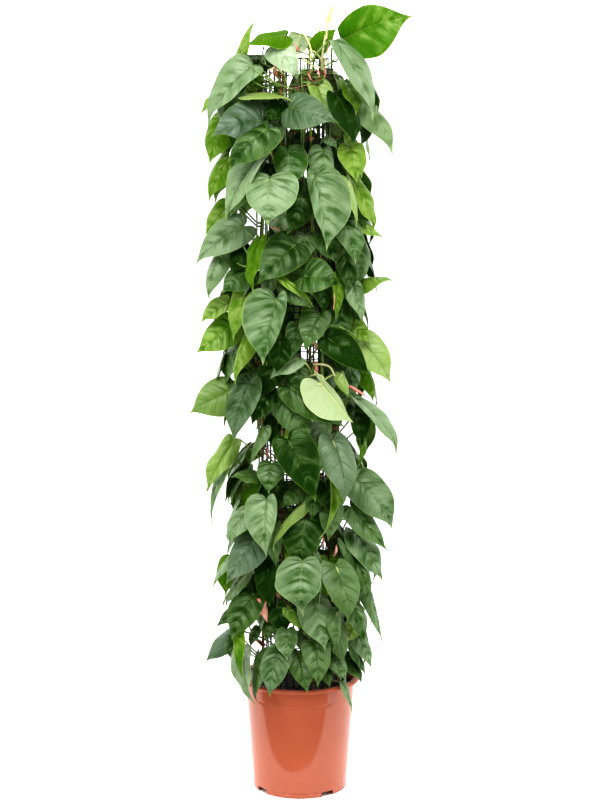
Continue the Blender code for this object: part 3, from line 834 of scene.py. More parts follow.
def blade_sheet(base, tip, width, turn, tilt, bow, nature):
    """The middle sheet of one blade, with its own bends, folds and waves."""
    along = np.array(tip - base)
    length = np.linalg.norm(along)
    direction = along / length
    facing = outward(turn) * math.cos(math.radians(tilt)) + UP * math.sin(math.radians(tilt))
    face = np.array(facing) - direction * np.dot(facing, direction)
    face /= np.linalg.norm(face)
    across = np.cross(direction, face)
    down = np.where(Y < 0, Y * nature["lobe"], Y)
    lift = 4 * bow * Y * (1 - Y) - nature["camber"] * X * X
    lift += nature["fold"] * np.abs(X) * (1 - 0.7 * Y)
    lift -= 0.010 * np.exp(-((SHARES / 0.05) ** 2)) * (1 - Y)
    between = (1 - np.cos(2 * math.pi * VEIN_NUMBERS)) / 2
    lift += nature["quilt"] * between * 4 * SHARES * (1 - SHARES) * (1 - 0.6 * np.clip(Y, 0, 1))
    phase = VEIN_NUMBERS * nature["wave_pitch"] + nature["wave_start"]
    lift += nature["wave"] * np.sin(phase) * SHARES**3
    lift += nature["twist"] * X * (Y - 0.3)
    lift -= nature["curl"] * np.clip(Y - 0.72, 0, 1) ** 2 * 4
    sweep = nature["sweep"] * (Y * (1 - Y))
    halves = 1 + nature["lopside"] * np.sign(X)
    halves = halves * (1 - nature["pinch"] * np.clip(1 - Y / 0.45, 0, 1) ** 1.5)
    halves = halves * (1 + nature["full"] * np.clip(Y - 0.35, 0, 1) * np.clip(1 - Y, 0, 1) * 3)
    wide = (X * halves * width / length / (2 * HALF_WIDTH) + sweep) * length
    points = np.array(base) + np.outer(down, along)
    points += np.outer(wide, across) + np.outer(lift * length, face)
    return points, face, direction


def leaf_nature(draw, light=0.5, yellow=0.0):
    """The small differences that make each blade its own, and how light it is painted for the light
    and sheen on it.
    """
    nature = {key: draw.uniform(low, high) for key, (low, high) in SPREADS.items()}
    nature.update(light=light + draw.uniform(-0.2, 0.2), yellow=yellow, seed=draw.random())
    return nature


def normals_of(points, faces):
    """Vertex normals of a sheet."""
    normals = np.zeros_like(points)
    for face in faces:
        a, b, c = points[face[0]], points[face[1]], points[face[2]]
        turn = np.cross(b - a, c - a)
        if len(face) == 4:
            turn = turn + np.cross(c - a, points[face[3]] - a)
        for corner in face:
            normals[corner] += turn
    return normals / np.maximum(np.linalg.norm(normals, axis=1), 1e-12)[:, None]


def new_pile():
    """An empty pile of geometry."""
    return {"points": [], "faces": [], "skins": [], "grid": [], "nature": [], "count": 0}


def pile_on(pile, points, faces, skins, grid, nature):
    """Adds some geometry to a pile that becomes one mesh. Skins are the faces' materials."""
    first = pile["count"]
    pile["points"].append(points)
    pile["faces"] += [tuple(first + corner for corner in face) for face in faces]
    pile["skins"] += skins
    pile["grid"].append(grid)
    numbers = (nature["light"], nature["yellow"], nature["seed"])
    pile["nature"].append(np.tile(numbers, (len(points), 1)))
    pile["count"] += len(points)


def finish_pile(name, pile, surfaces, replaced=()):
    """Turns a pile into one piece of the plant."""
    mesh = mesh_of(name, np.vstack(pile["points"]), pile["faces"])
    mesh.polygons.foreach_set("material_index", pile["skins"])
    for key, attribute in (("grid", "blade_grid"), ("nature", "leaf_nature")):
        layer = mesh.attributes.new(attribute, "FLOAT_VECTOR", "POINT")
        layer.data.foreach_set("vector", np.vstack(pile[key]).astype(np.float32).ravel())
    made = add_object(name, mesh, *surfaces)
    smooth(mesh, 60)
    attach(made, "root")
    if replaced:
        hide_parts(*replaced)


# --- Leaf stalks ---------------------------------------------------------------------------------
# A slender light green stalk leaves the stem just under a node, arches out and turns down into the
# notch of its blade, where it goes on as the midrib, raised under the blade.
STALK_STEP = 6 * MM
STALK_RISE = 4 * CM
LOWEST_STALK = 23.5 * CM
STALK_SIDES = 6
STALK_POINTS = 9
STALK_RADII = [2.3 * MM, 2.0 * MM] + [1.6 * MM] * (STALK_POINTS - 3) + [1.7 * MM]
MIDRIB_PLACES = (0.15, 0.3, 0.45, 0.6, 0.75, 0.88)  # along the blade


def bezier(start, first, second, end, steps):
    """Points along a curve with these two handles."""
    points = []
    for step in range(steps + 1):
        t = step / steps
        s = 1 - t
        points.append(s**3 * start + 3 * s * s * t * first + 3 * s * t * t * second + t**3 * end)
    return points


def stalk_rod(base, sheet, face, direction):
    """The rod of a stalk and midrib from the nearest stem to its blade."""
    base, face, direction = Vector(base), Vector(face), Vector(direction)
    side = ((base - COLUMN_AXIS) * Vector((1, 1, 0))).normalized()
    _, turn, top = max(STEMS, key=lambda stem: side.dot(outward(stem[1])))
    level = max(LOWEST_STALK, min(base.z - STALK_RISE, top - CM))
    root = stem_point(turn, level)
    away = ((root - COLUMN_AXIS) * Vector((1, 1, 0))).normalized()
    start = root + away * (STEM_RADIUS * 0.5)
    bend = root + away * (STEM_RADIUS + STALK_STEP)
    reach = (base - bend).length
    first = bend + (away * 0.6 + UP * 0.5) * reach * 0.45
    second = base - (direction * 0.5 + face * 0.35) * reach * 0.35
    path = [start] + bezier(bend, first, second, base, STALK_POINTS - 2)
    radii = list(STALK_RADII)
    midrib = sheet[SPINE]
    for thinning, along in zip(np.linspace(0.12, 1, len(MIDRIB_PLACES)), MIDRIB_PLACES):
        radius = (1.1 - 0.85 * thinning) * MM
        spot = [np.interp(along, Y[SPINE], midrib[:, axis]) for axis in range(3)]
        path.append(Vector(spot) - face * (radius * 0.9))
        radii.append(radius)
    return rod(path, radii, STALK_SIDES)


# --- Leaf neighbours -----------------------------------------------------------------------------
# Living leaves push each other aside and never grow through one another. Each blade that has no
# solid in the frame is therefore moved in or out a little, by the first of a few steps that clears
# those grown before it, or else by the step that crosses them least.
POT_REACH = 25 * CM  # of a ball round the pot's middle that holds all of it
pot_tree = BVHTree.FromPolygons(
    [point.co.copy() for point in pot.data.vertices],
    [tuple(face.vertices) for face in pot.data.polygons],
)
# For each thing grown: the middle and the reach of a ball round it, its faces, and its kind.
grown = [(Vector((0, 0, POT_HEIGHT / 2)), POT_REACH, pot_tree, "pot")]


def touches(sheet):
    """How many face pairs of this sheet cross what has grown, then its own ball and faces."""
    corners = [Vector(point) for point in sheet]
    tree = BVHTree.FromPolygons(corners, BLADE_FACES)
    middle = sum(corners, Vector()) / len(corners)
    reach = max((corner - middle).length for corner in corners)
    crossings = 0
    for other_middle, other_reach, other_tree, _ in grown:
        if (middle - other_middle).length < reach + other_reach:
            crossings += len(tree.overlap(other_tree))
    return crossings, middle, reach, tree


def add_blade(pile, sheet, nature):
    """Closes a sheet into a thin blade with an upper and a lower skin."""
    offset = normals_of(sheet, BLADE_FACES) * BLADE_THICKNESS / 2
    both = np.vstack([sheet + offset, sheet - offset])
    grid = np.stack([VEIN_NUMBERS, SHARES, Y], 1)
    pile_on(pile, both, CLOSED_FACES, CLOSED_SKINS, np.vstack([grid, grid]), nature)


def grow_leaf(pile, base, tip, width, turn, tilt, bow, nature, shifts=(0,)):
    """Adds a leaf to a pile, moved along its facing by the first shift that clears the others.

    It gives whether the leaf still crosses one.
    """
    fewest = None
    for shift in shifts:
        step = (outward(turn) + UP * 0.15) * shift * MM
        form = blade_sheet(base + step, tip + step, width, turn, tilt, bow, nature)
        crossings, *ball = touches(form[0])
        if fewest is None or crossings < fewest:
            fewest, kept_ball, kept_base, kept = crossings, ball, base + step, form
        if crossings == 0:
            break
    grown.append((*kept_ball, "leaf"))
    add_blade(pile, kept[0], nature)
    points, faces = stalk_rod(kept_base, *kept)
    pile_on(pile, points, faces, [2] * len(faces), np.zeros((len(points), 3)), nature)
    return fewest > 0


# --- Framed leaves -------------------------------------------------------------------------------
# The 51 outermost leaves, which are solids in the frame, grown again in full detail. Each is one
# growth, a waxy blade on its own stalk, and keeps the material slot that the record gives it.

# Each row is the stalk's end, the tip, the width, the turn and tilt of the upper face and the bow,
# then how light the blade is painted, from its painted shaded to its painted lit colour as painted
# light and sheen, and how yellow.
LEAVES = [
    # top
    ((8.0, -1.5, 147.4), (21.3, -3.0, 152.1), 11.0, -5, 10, 0.06, 0.5, 0.1),
    ((6.4, -6.3, 147.3), (13.9, -10.5, 132.2), 9.0, 52, 0, 0.10, 0.9, -0.2),
    ((-8.9, -6.0, 142.6), (-18.1, -7.0, 131.2), 7.2, -35, 15, 0.10, 0.8, -0.2),
    ((-1.9, -10.5, 134.9), (7.1, -14.5, 132.4), 7.6, 0, 25, 0.08, 0.9, -0.6),
    ((-7.2, -8.6, 132.5), (-16.7, -12.5, 129.6), 8.0, -10, 20, 0.06, 0.75, -0.9),
    ((7.0, -8.2, 136.8), (10.2, -10.5, 127.6), 7.0, 40, 10, 0.08, 0.2, 0),
    ((10.3, -3.5, 137.2), (17.9, -6.5, 126.1), 7.0, 45, 20, 0.08, 0.6, 0.1),
    ((-6.2, -9.6, 126.8), (-13.9, -12.5, 113.8), 7.2, -45, 15, 0.10, 0.8, -0.1),
    # upper middle
    ((-5.6, -14.0, 122.0), (-6.0, -18.0, 113.2), 10.0, -5, 15, 0.08, 0.8, -0.1),
    ((2.9, -12.0, 122.2), (4.9, -16.0, 108.4), 8.4, 20, 15, 0.08, 0.8, -0.2),
    ((8.2, -9.0, 113.6), (10.6, -12.5, 105.8), 6.6, 35, 15, 0.08, 0.3, 0),
    ((-10.8, -3.5, 112.2), (-20.2, -5.5, 105.4), 7.6, -15, 25, 0.08, 0.9, -0.2),
    ((-0.9, -10.6, 109.3), (-8.0, -13.6, 102.0), 8.0, -5, 20, 0.06, 0.5, -0.2),
    ((0.8, -13.0, 103.6), (7.7, -16.5, 102.2), 7.4, 5, 24, 0.08, 0.6, 0),
    ((11.0, -3.5, 101.5), (18.1, -5.5, 102.3), 6.0, 30, 60, 0.08, 0.7, 0),
    ((-13.2, -1.5, 93.2), (-20.2, -3.5, 87.9), 6.4, -10, 15, 0.06, 0.7, 0),
    ((-4.5, -13.4, 99.2), (-6.9, -17.5, 87.2), 8.2, -12, 15, 0.08, 0.6, -0.2),
    ((11.4, -4.0, 90.4), (17.6, -5.5, 82.2), 7.0, 15, 25, 0.10, 1.0, 0.1),
    ((5.4, -9.8, 91.4), (13.3, -11.8, 84.5), 6.0, 15, 15, 0.08, 0.2, 0),
    # lower middle
    ((-13.2, -1.5, 80.2), (-21.6, -2.5, 76.0), 8.2, -5, 15, 0.05, 1.0, -0.4),
    ((-9.8, -7.6, 82.6), (-12.9, -11.5, 71.8), 7.0, -30, 10, 0.08, 0.8, -0.5),
    ((4.1, -13.0, 83.0), (9.7, -15.6, 76.0), 6.2, 172, 5, 0.06, 0.95, -0.12),
    ((-2.2, -12.6, 72.2), (3.0, -16.5, 61.0), 8.0, 0, 15, 0.08, 0.5, 0),
    ((6.3, -11.0, 71.8), (8.6, -15.0, 60.4), 7.4, 20, 15, 0.08, 0.9, -0.5),
    ((10.0, -5.2, 79.0), (19.5, -8.5, 68.8), 5.6, 60, 30, 0.08, 0.8, 0),
    ((-12.6, -4.0, 70.9), (-18.2, -7.0, 61.0), 4.6, -20, 10, 0.10, 1.05, -0.2),
    ((-6.4, -11.8, 60.6), (-6.4, -15.5, 50.2), 6.6, -18, 15, 0.08, 0.6, 0),
    ((-8.8, -7.2, 51.6), (-14.4, -11.0, 43.6), 7.2, -20, 20, 0.08, 1.0, -0.6),
    ((10.9, -5.0, 63.2), (18.4, -7.0, 53.8), 7.8, 15, 20, 0.08, 0.7, -0.3),
    # foot
    ((0.5, -14.6, 49.0), (0.6, -18.6, 40.0), 9.0, 0, 15, 0.10, 0.85, -0.2),
    ((7.0, -11.2, 47.2), (9.4, -14.8, 37.2), 7.2, 20, 15, 0.08, 1.0, -0.1),
    ((10.6, -3.6, 52.6), (16.3, -6.8, 43.4), 6.6, 40, 15, 0.08, 0.8, -0.2),
    ((-9.2, -8.4, 40.9), (-13.2, -11.6, 32.8), 7.0, -22, 20, 0.10, 0.5, 0),
    ((3.0, -11.6, 32.3), (3.4, -15.2, 24.4), 5.6, 10, 20, 0.08, 0.8, -0.1),
    ((-4.2, -11.8, 30.5), (-5.9, -15.0, 22.5), 5.6, -10, 20, 0.08, 0.5, -0.4),
    ((-11.0, -7.0, 28.8), (-9.2, -13.4, 20.4), 6.0, -48, 10, 0.08, 1.15, 0),
    ((-13.0, -0.6, 31.0), (-18.8, -2.5, 25.8), 4.6, -15, 25, 0.06, 1.1, -0.9),
    ((10.6, -4.0, 32.4), (14.0, -7.0, 25.6), 4.6, 40, 15, 0.08, 0.5, 0),
]
# Round the back: the turn and height of the stalk's end, the reach of the tip from the column's
# axis, its drop, the width and a twist.
BACK_STALK_REACH = 11.0
BACK_FORM = (30, 0.08, 0.5, 0)  # the tilt, the bow, how light and how yellow
BACK_LEAVES = [
    (158, 141.0, 18.5, 8.5, 8.4, 8),
    (214, 136.0, 19.0, 9.0, 8.0, -12),
    (108, 125.0, 15.2, 9.5, 7.6, 6),
    (184, 121.0, 19.5, 9.0, 8.6, 4),
    (246, 124.0, 18.5, 8.0, 7.8, -8),
    (138, 106.0, 19.5, 9.5, 8.2, 10),
    (212, 101.0, 18.5, 10.0, 8.4, -6),
    (176, 84.0, 19.4, 9.0, 8.8, 0),
    (112, 78.0, 15.2, 9.0, 7.8, 12),
    (236, 68.0, 18.0, 9.5, 7.6, -8),
    (150, 61.0, 18.5, 9.5, 8.0, 5),
    (196, 45.0, 18.0, 9.0, 7.8, -4),
    (128, 38.0, 17.0, 8.0, 6.6, 8),
]


def back_leaf(turn, height, tip_reach, drop, width, twist):
    """A row of LEAVES for a leaf that points straight away from the column."""
    base = COLUMN_AXIS / CM + outward(turn) * BACK_STALK_REACH + UP * height
    tip = COLUMN_AXIS / CM + outward(turn + twist / 2) * tip_reach + UP * (height - drop)
    return (base, tip, width, turn + twist, *BACK_FORM)


# Blades whose form differs from the usual spread, by their seeds.
SHAPES = {
    1: {"lobe": 0.1, "fold": 0.35, "camber": 0.3, "lopside": 0.2, "pinch": 0.45, "full": 0.3},
    2: {"lobe": 0.1, "fold": 0.2, "camber": 0.3, "pinch": 0.6, "full": 0.3},
    3: {"lobe": 0.5, "lopside": 0.22, "fold": 0.25, "sweep": 0.0},
    7: {"lopside": 0.2},
    10: {"lopside": -0.6, "sweep": 0.0},
    17: {"lopside": 0.42, "lobe": 1.2, "sweep": 0.0},
    22: {"lobe": 2.6, "fold": 0.05, "camber": 0.5, "lopside": -0.55, "curl": -0.5, "sweep": 0.0},
    26: {"lobe": 0.4, "wave": 0.07, "fold": 0.4},
    27: {"lopside": 0.35, "sweep": 0.0},
    30: {"lobe": 1.1, "curl": 1.7, "full": 0.7, "fold": 0.1, "camber": 0.7},
    102: {"lobe": 0.1, "camber": 0.3, "fold": 0.0, "pinch": -0.1},
    103: {"lobe": 0.9, "camber": 0.4, "curl": 1.3, "fold": 0.0, "lopside": 0.0},
}
slot_of = {part["node"]: part["material_slot"] for part in frame["record"]["subparts"]}
rows = LEAVES + [back_leaf(*row) for row in BACK_LEAVES]
for number, (base, tip, width, turn, tilt, bow, light, yellow) in enumerate(rows, start=1):
    node = f"leaf_{number:02d}"
    slot = slot_of[node]
    nature = leaf_nature(random.Random(number), light, yellow)
    nature.update(SHAPES.get(number, {}))
    pile = new_pile()
    grow_leaf(pile, Vector(base) * CM, Vector(tip) * CM, width * CM, turn, tilt, bow, nature)
    surfaces = (UPPER_SKINS[slot], UNDER_SKINS[slot], stalk_skin)
    finish_pile(node + "_grown", pile, surfaces, [node])

# --- Leaves between them -------------------------------------------------------------------------
# The other leaves that show from the front and the sides, of the same waxy kind. They are joined
# into one piece for each tier of the column and each tone.

# The rows are as above, but end with the tone and how light the blade is.
MORE_LEAVES = [
    # top
    ((3.1, -6.0, 145.3), (7.3, -7.2, 149.8), 4.0, 10, 20, 0.08, "bright", 0.1),
    ((-2.9, -5.0, 148.3), (-10.4, -7.2, 146.2), 5.4, -20, 42, 0.10, "bright", 0.1),
    ((0.3, -3.0, 148.5), (-0.9, -3.4, 144.2), 4.2, 175, 5, 0.08, "grey", 1.6),
    ((-4.6, -7.0, 146.2), (-0.2, -9.8, 140.3), 5.4, -4, 30, 0.08, "grey", 1.35),
    ((-11.4, -3.0, 144.2), (-7.9, -4.0, 151.6), 3.2, -58, 0, 0.06, "bright", 0.7),
    ((-6.6, -1.0, 144.2), (-14.4, -2.6, 142.7), 5.4, -10, 52, 0.12, "dark", 0.5),
    ((-13.0, 1.5, 137.8), (-19.4, 1.0, 134.0), 4.5, -30, 40, 0.06, "bright", 0.5),
    ((7.9, -5.0, 139.2), (10.0, -8.0, 133.5), 4.6, 40, 10, 0.06, "bright", 0.6),
    ((3.5, -8.5, 139.6), (5.4, -11.0, 133.2), 4.6, 15, 15, 0.06, "bright", 0.9),
    ((-10.0, -7.0, 136.9), (-1.3, -10.5, 136.3), 6.5, 0, 78, 0.05, "bright", 0.9),
    ((-14.8, -1.0, 132.8), (-17.3, -2.5, 124.0), 6.2, -15, 10, 0.08, "bright", 0.6),
    ((-3.4, -8.0, 136.0), (-6.5, -9.5, 132.0), 4.0, -5, 15, 0.08, "dark", 0.2),
    ((12.0, -0.5, 137.0), (16.4, -1.5, 129.0), 6.0, 50, 10, 0.08, "bright", 0.7),
    ((12.3, -2.0, 132.0), (11.6, -3.5, 127.5), 3.4, 40, 10, 0.08, "dark", 0.3),
    ((5.0, -8.5, 129.3), (7.0, -10.0, 127.3), 2.2, 20, 20, 0.06, "grey", 0.8),
    # upper middle
    ((-5.4, -11.0, 130.6), (-12.6, -14.0, 123.2), 7.0, -25, 15, 0.08, "dark", 0.75),
    ((-13.6, -2.0, 125.3), (-17.6, -4.0, 117.0), 5.5, -35, 10, 0.08, "bright", 0.5),
    ((-2.3, -9.5, 126.9), (-1.7, -12.0, 119.4), 6.8, -5, 10, 0.08, "grey", 0.5),
    ((8.7, -8.0, 121.0), (10.4, -10.0, 112.0), 5.0, 65, 0, 0.06, "bright", 1.0),
    ((4.7, -10.0, 127.0), (4.7, -12.0, 119.8), 5.0, 15, 10, 0.08, "grey", 0.85),
    ((7.2, -7.0, 128.5), (8.0, -8.5, 121.5), 4.4, 35, 10, 0.08, "dark", 0.2),
    ((9.5, -6.5, 127.4), (10.6, -8.8, 120.8), 6.2, 25, 15, 0.10, "bright", 0.7),
    ((10.5, -4.0, 121.0), (14.8, -6.0, 111.3), 5.0, 45, 10, 0.08, "bright", 0.6),
    ((9.8, -5.5, 119.3), (13.8, -8.0, 111.8), 4.0, 40, 10, 0.08, "dark", 0.4),
    ((8.8, -6.0, 115.3), (16.5, -8.0, 110.4), 4.0, 20, 50, 0.06, "bright", 0.9),
    ((0.4, -9.5, 118.2), (-2.5, -12.0, 111.3), 5.0, 0, 10, 0.08, "dark", 0.4),
    ((-13.6, 0.0, 116.0), (-18.4, -1.0, 110.3), 5.0, -20, 20, 0.06, "bright", 0.5),
    ((-10.5, -1.0, 119.0), (-13.8, -3.0, 113.3), 4.5, -30, 10, 0.08, "dark", 0.4),
    ((-15.2, -3.5, 107.0), (-17.6, -5.5, 98.3), 4.6, -30, 10, 0.08, "grey", 0.9),
    ((-7.6, -8.5, 110.0), (-9.0, -10.5, 100.1), 4.6, -50, 5, 0.08, "bright", 0.1),
    ((1.0, -9.5, 111.0), (1.2, -12.0, 106.0), 4.8, 5, 35, 0.06, "grey", 0.5),
    ((4.0, -8.5, 111.0), (7.0, -10.0, 105.5), 4.8, 15, 10, 0.08, "dark", 0.7),
    ((-3.4, -9.0, 105.0), (3.4, -11.0, 99.0), 4.4, 0, 40, 0.06, "dark", 0.9),
    ((-2.8, -8.5, 102.6), (2.6, -10.0, 98.2), 5.0, 0, 20, 0.06, "dark", 0.7),
    ((11.3, -3.0, 110.2), (10.8, -5.5, 100.6), 5.4, 35, 10, 0.08, "dark", 0.8),
    ((8.3, -6.5, 108.3), (9.0, -8.5, 99.8), 5.0, 25, 10, 0.08, "dark", 0.3),
    ((-9.6, -5.0, 104.0), (-14.9, -7.0, 99.6), 6.4, -25, 30, 0.06, "grey", 0.3),
    ((-9.5, -3.5, 107.8), (-13.0, -5.0, 103.0), 4.4, -20, 10, 0.06, "dark", 0.2),
    ((-9.9, -5.5, 100.4), (-12.9, -8.0, 90.7), 5.4, -30, 10, 0.08, "bright", 0.6),
    ((-13.9, -2.0, 97.3), (-19.3, -3.0, 93.8), 4.4, -10, 45, 0.05, "bright", 1.0),
    ((-9.9, -6.5, 92.1), (-12.4, -9.0, 82.0), 4.4, -40, 5, 0.08, "bright", 0.7),
    ((-4.0, -8.5, 96.0), (-6.5, -10.0, 86.0), 5.6, -5, 10, 0.08, "dark", 0.1),
    ((-0.5, -9.5, 93.6), (-1.9, -11.5, 87.6), 4.0, 0, 15, 0.06, "grey", 0.55),
    ((3.7, -9.5, 96.2), (0.9, -12.5, 89.4), 5.6, 5, 15, 0.06, "dark", 0.7),
    ((-0.3, -9.5, 87.6), (-5.9, -11.0, 84.0), 4.4, 0, 55, 0.05, "grey", 0.9),
    ((10.2, -6.8, 101.0), (12.2, -8.8, 94.6), 4.0, 25, 15, 0.06, "grey", 0.6),
    ((7.4, -8.0, 103.0), (7.0, -9.5, 95.0), 4.4, 60, 5, 0.08, "bright", 0.1),
    ((12.3, -1.0, 85.0), (14.5, -2.5, 78.0), 4.6, 40, 10, 0.08, "bright", 0.4),
    ((7.0, -7.0, 98.0), (8.5, -8.5, 90.0), 5.2, 20, 10, 0.08, "dark", 0.3),
    # lower middle
    ((-5.0, -8.0, 86.0), (-7.5, -9.5, 79.8), 5.4, -15, 10, 0.08, "dark", 0.3),
    ((-6.0, -8.5, 80.8), (-9.6, -10.5, 74.8), 4.8, -20, 10, 0.08, "dark", 0.5),
    ((-1.8, -10.5, 82.2), (8.6, -12.5, 74.7), 7.0, 0, 20, 0.06, "dark", 0.4),
    ((-3.3, -10.0, 79.5), (2.0, -13.0, 71.6), 6.8, -5, 15, 0.08, "dark", 0.6),
    ((7.9, -10.4, 84.6), (9.3, -11.4, 80.2), 2.6, 30, 10, 0.12, "bright", 1.0),
    ((10.5, -4.0, 77.0), (12.0, -6.0, 69.5), 5.0, 35, 10, 0.08, "dark", 0.3),
    ((12.0, -3.0, 72.5), (11.6, -4.5, 65.6), 4.0, 60, 5, 0.08, "bright", 0.5),
    ((-9.9, -6.0, 70.0), (-13.1, -8.0, 65.7), 4.6, -75, 0, 0.08, "dark", 0.4),
    ((-7.0, -8.5, 74.0), (-9.7, -10.5, 66.3), 3.2, -50, 5, 0.08, "dark", 0.9),
    ((-13.9, -4.0, 66.5), (-17.3, -6.0, 53.6), 4.6, -68, 0, 0.08, "grey", 0.8),
    ((-8.0, -7.0, 64.2), (-13.4, -9.0, 64.6), 4.6, -10, 60, 0.06, "dark", 0.9),
    ((-5.5, -10.0, 67.2), (-6.0, -12.5, 61.9), 5.4, -10, 20, 0.06, "grey", 0.5),
    ((-10.2, -7.0, 57.4), (-14.0, -9.0, 51.5), 5.0, -30, 15, 0.08, "grey", 0.9),
    ((-13.6, -1.0, 46.5), (-14.6, -3.0, 39.5), 5.0, -40, 10, 0.08, "bright", 0.5),
    ((-14.0, -3.5, 47.0), (-17.3, -5.5, 41.2), 4.0, -70, 0, 0.08, "grey", 0.5),
    ((9.9, -5.0, 57.7), (17.0, -7.0, 49.4), 5.6, 25, 30, 0.08, "dark", 0.9),
    ((5.8, -9.2, 64.2), (4.2, -11.6, 52.6), 3.2, 52, 5, 0.08, "bright", 0.4),
    ((5.0, -8.6, 63.0), (7.0, -10.0, 56.5), 5.0, 20, 10, 0.08, "dark", 0.2),
    ((6.6, -9.2, 58.9), (5.6, -11.2, 52.2), 5.0, 15, 10, 0.08, "dark", 0.9),
    ((1.2, -10.5, 56.5), (-0.5, -13.5, 47.2), 8.0, 0, 12, 0.08, "dark", 0.5),
    # foot
    ((3.5, -10.5, 48.8), (4.0, -13.5, 39.6), 4.6, 78, 0, 0.06, "grey", 0.9),
    ((9.6, -6.5, 50.4), (13.9, -9.5, 39.6), 5.2, 45, 10, 0.08, "dark", 0.6),
    ((13.0, -4.0, 41.0), (16.2, -6.0, 29.6), 3.2, 55, 5, 0.08, "grey", 0.6),
    ((9.9, -7.5, 39.2), (12.6, -9.5, 31.6), 4.6, 35, 10, 0.08, "grey", 0.6),
    ((11.5, -5.0, 35.0), (8.6, -6.0, 30.8), 3.8, 170, 10, 0.08, "bright", 0.4),
    ((2.6, -10.8, 40.4), (4.9, -14.0, 31.4), 7.0, 12, 15, 0.08, "grey", 0.6),
    ((-2.4, -11.0, 38.9), (0.8, -13.0, 34.9), 2.2, 0, 40, 0.06, "bright", 0.8),
    ((-4.6, -9.5, 39.0), (-3.0, -11.0, 33.5), 4.8, -10, 10, 0.08, "dark", 0.3),
    ((-2.5, -11.5, 34.7), (-2.5, -14.2, 29.6), 4.6, -5, 20, 0.06, "grey", 0.8),
    ((0.8, -11.0, 34.0), (3.7, -14.0, 29.0), 4.6, 5, 20, 0.06, "dark", 0.9),
    ((7.2, -9.5, 35.6), (8.4, -11.0, 28.0), 5.0, 25, 10, 0.08, "dark", 0.8),
    ((-0.2, -10.5, 30.2), (1.5, -13.8, 22.8), 5.6, 0, 15, 0.08, "dark", 0.9),
    ((-8.0, -8.5, 29.4), (-8.4, -12.8, 20.6), 4.6, -50, 5, 0.08, "dark", 0.7),
    ((-10.9, -8.8, 33.3), (-9.4, -11.6, 24.6), 3.2, -50, 5, 0.08, "bright", 0.4),
    ((-13.2, -2.0, 30.5), (-13.0, -3.5, 26.0), 3.4, -30, 10, 0.08, "dark", 0.4),
    ((7.0, -9.5, 28.8), (9.3, -12.0, 24.8), 3.6, 25, 15, 0.06, "grey", 0.6),
    ((11.2, -5.0, 30.0), (13.7, -7.5, 24.4), 4.2, 65, 5, 0.06, "grey", 0.6),
    ((8.4, -9.8, 23.6), (10.2, -12.5, 17.8), 1.6, 40, 5, 0.05, "grey", 0.8),
    ((5.0, -9.5, 26.0), (5.8, -12.0, 23.6), 2.6, 10, 20, 0.05, "dark", 0.9),
    ((-11.0, -2.0, 37.5), (-16.7, -4.0, 33.6), 3.6, -20, 20, 0.06, "dark", 0.5),
    ((8.6, -5.5, 27.8), (12.4, -7.2, 22.9), 4.4, 45, 20, 0.06, "dark", 0.5),
    ((6.2, -7.5, 28.6), (8.2, -9.6, 24.2), 4.0, 25, 25, 0.06, "grey", 0.5),
    # here and there
    ((-8.6, -4.5, 142.2), (-8.8, -5.5, 137.0), 2.8, -10, 10, 0.06, "bright", 0.3),
    ((9.8, -5.0, 93.6), (13.6, -6.5, 90.2), 4.4, 20, 20, 0.08, "bright", 0.5),
    ((-5.0, -8.0, 75.6), (-5.6, -9.5, 70.4), 3.8, -10, 10, 0.06, "dark", 0.1),
    ((0.2, -9.3, 62.4), (-3.6, -11.4, 59.0), 3.8, 0, 25, 0.08, "dark", 0.6),
    ((1.4, -9.8, 60.6), (-6.0, -12.0, 50.6), 2.2, -45, 10, 0.10, "bright", 0.9),
    ((2.8, -8.8, 61.2), (2.2, -10.2, 56.4), 3.8, 10, 10, 0.06, "dark", 0.8),
    ((6.4, -10.0, 38.0), (6.1, -12.6, 31.2), 3.4, 30, 10, 0.08, "dark", 0.9),
    ((-5.0, -8.8, 54.5), (-4.6, -10.6, 47.0), 3.4, -10, 10, 0.06, "dark", 0.8),
    ((-7.6, -8.4, 50.6), (-7.0, -9.8, 44.8), 4.6, -15, 10, 0.06, "dark", 0.1),
    ((-7.6, -8.8, 38.2), (-7.6, -10.0, 34.0), 2.0, -30, 5, 0.06, "grey", 0.7),
    ((-5.2, -8.6, 37.2), (-6.8, -10.2, 32.2), 3.8, -20, 10, 0.06, "dark", 0.6),
    ((-4.0, -6.0, 139.6), (-4.8, -8.0, 136.4), 2.6, -10, 20, 0.06, "dark", 0.3),
    ((-6.2, -9.4, 46.4), (-6.0, -11.6, 39.4), 4.8, -10, 10, 0.08, "dark", 0.2),
    ((-8.4, -8.0, 34.6), (-9.6, -9.4, 30.8), 2.4, -30, 10, 0.08, "dark", 0.5),
    ((-3.6, -9.0, 90.6), (-4.4, -10.2, 84.6), 4.6, -5, 10, 0.06, "dark", 0.2),
    ((-2.4, -11.0, 101.2), (2.2, -13.4, 97.6), 4.4, -5, 15, 0.08, "dark", 0.8),
    ((-4.0, -12.4, 103.4), (2.8, -14.4, 98.2), 2.0, 0, 55, 0.08, "bright", 0.5),
]
FIRST_SEED = 100
# The yellow stands for young green and for a painted glow of light through the blade.
YOUNG_GLOW_YELLOW = 0.3
YOUNG_GLOW_BELOW = 0.8  # how light a bright blade may be and still have that much yellow
# The tiers' tops in centimetres, and how far in or out a leaf may be moved, in millimetres.
TIERS = [("foot", 50), ("low", 82), ("middle", 112), ("high", 136), ("crown", 200)]
SHIFTS = (0, -5, 5, -10, 10, -15, 15, -20, 20)
piles = {}


def tier_pile(height, tone):
    """The pile for leaves of this tone in the tier that holds this height in metres."""
    tier = next(name for name, top in TIERS if height < top * CM)
    return piles.setdefault((tier, "leaf_" + tone), new_pile())


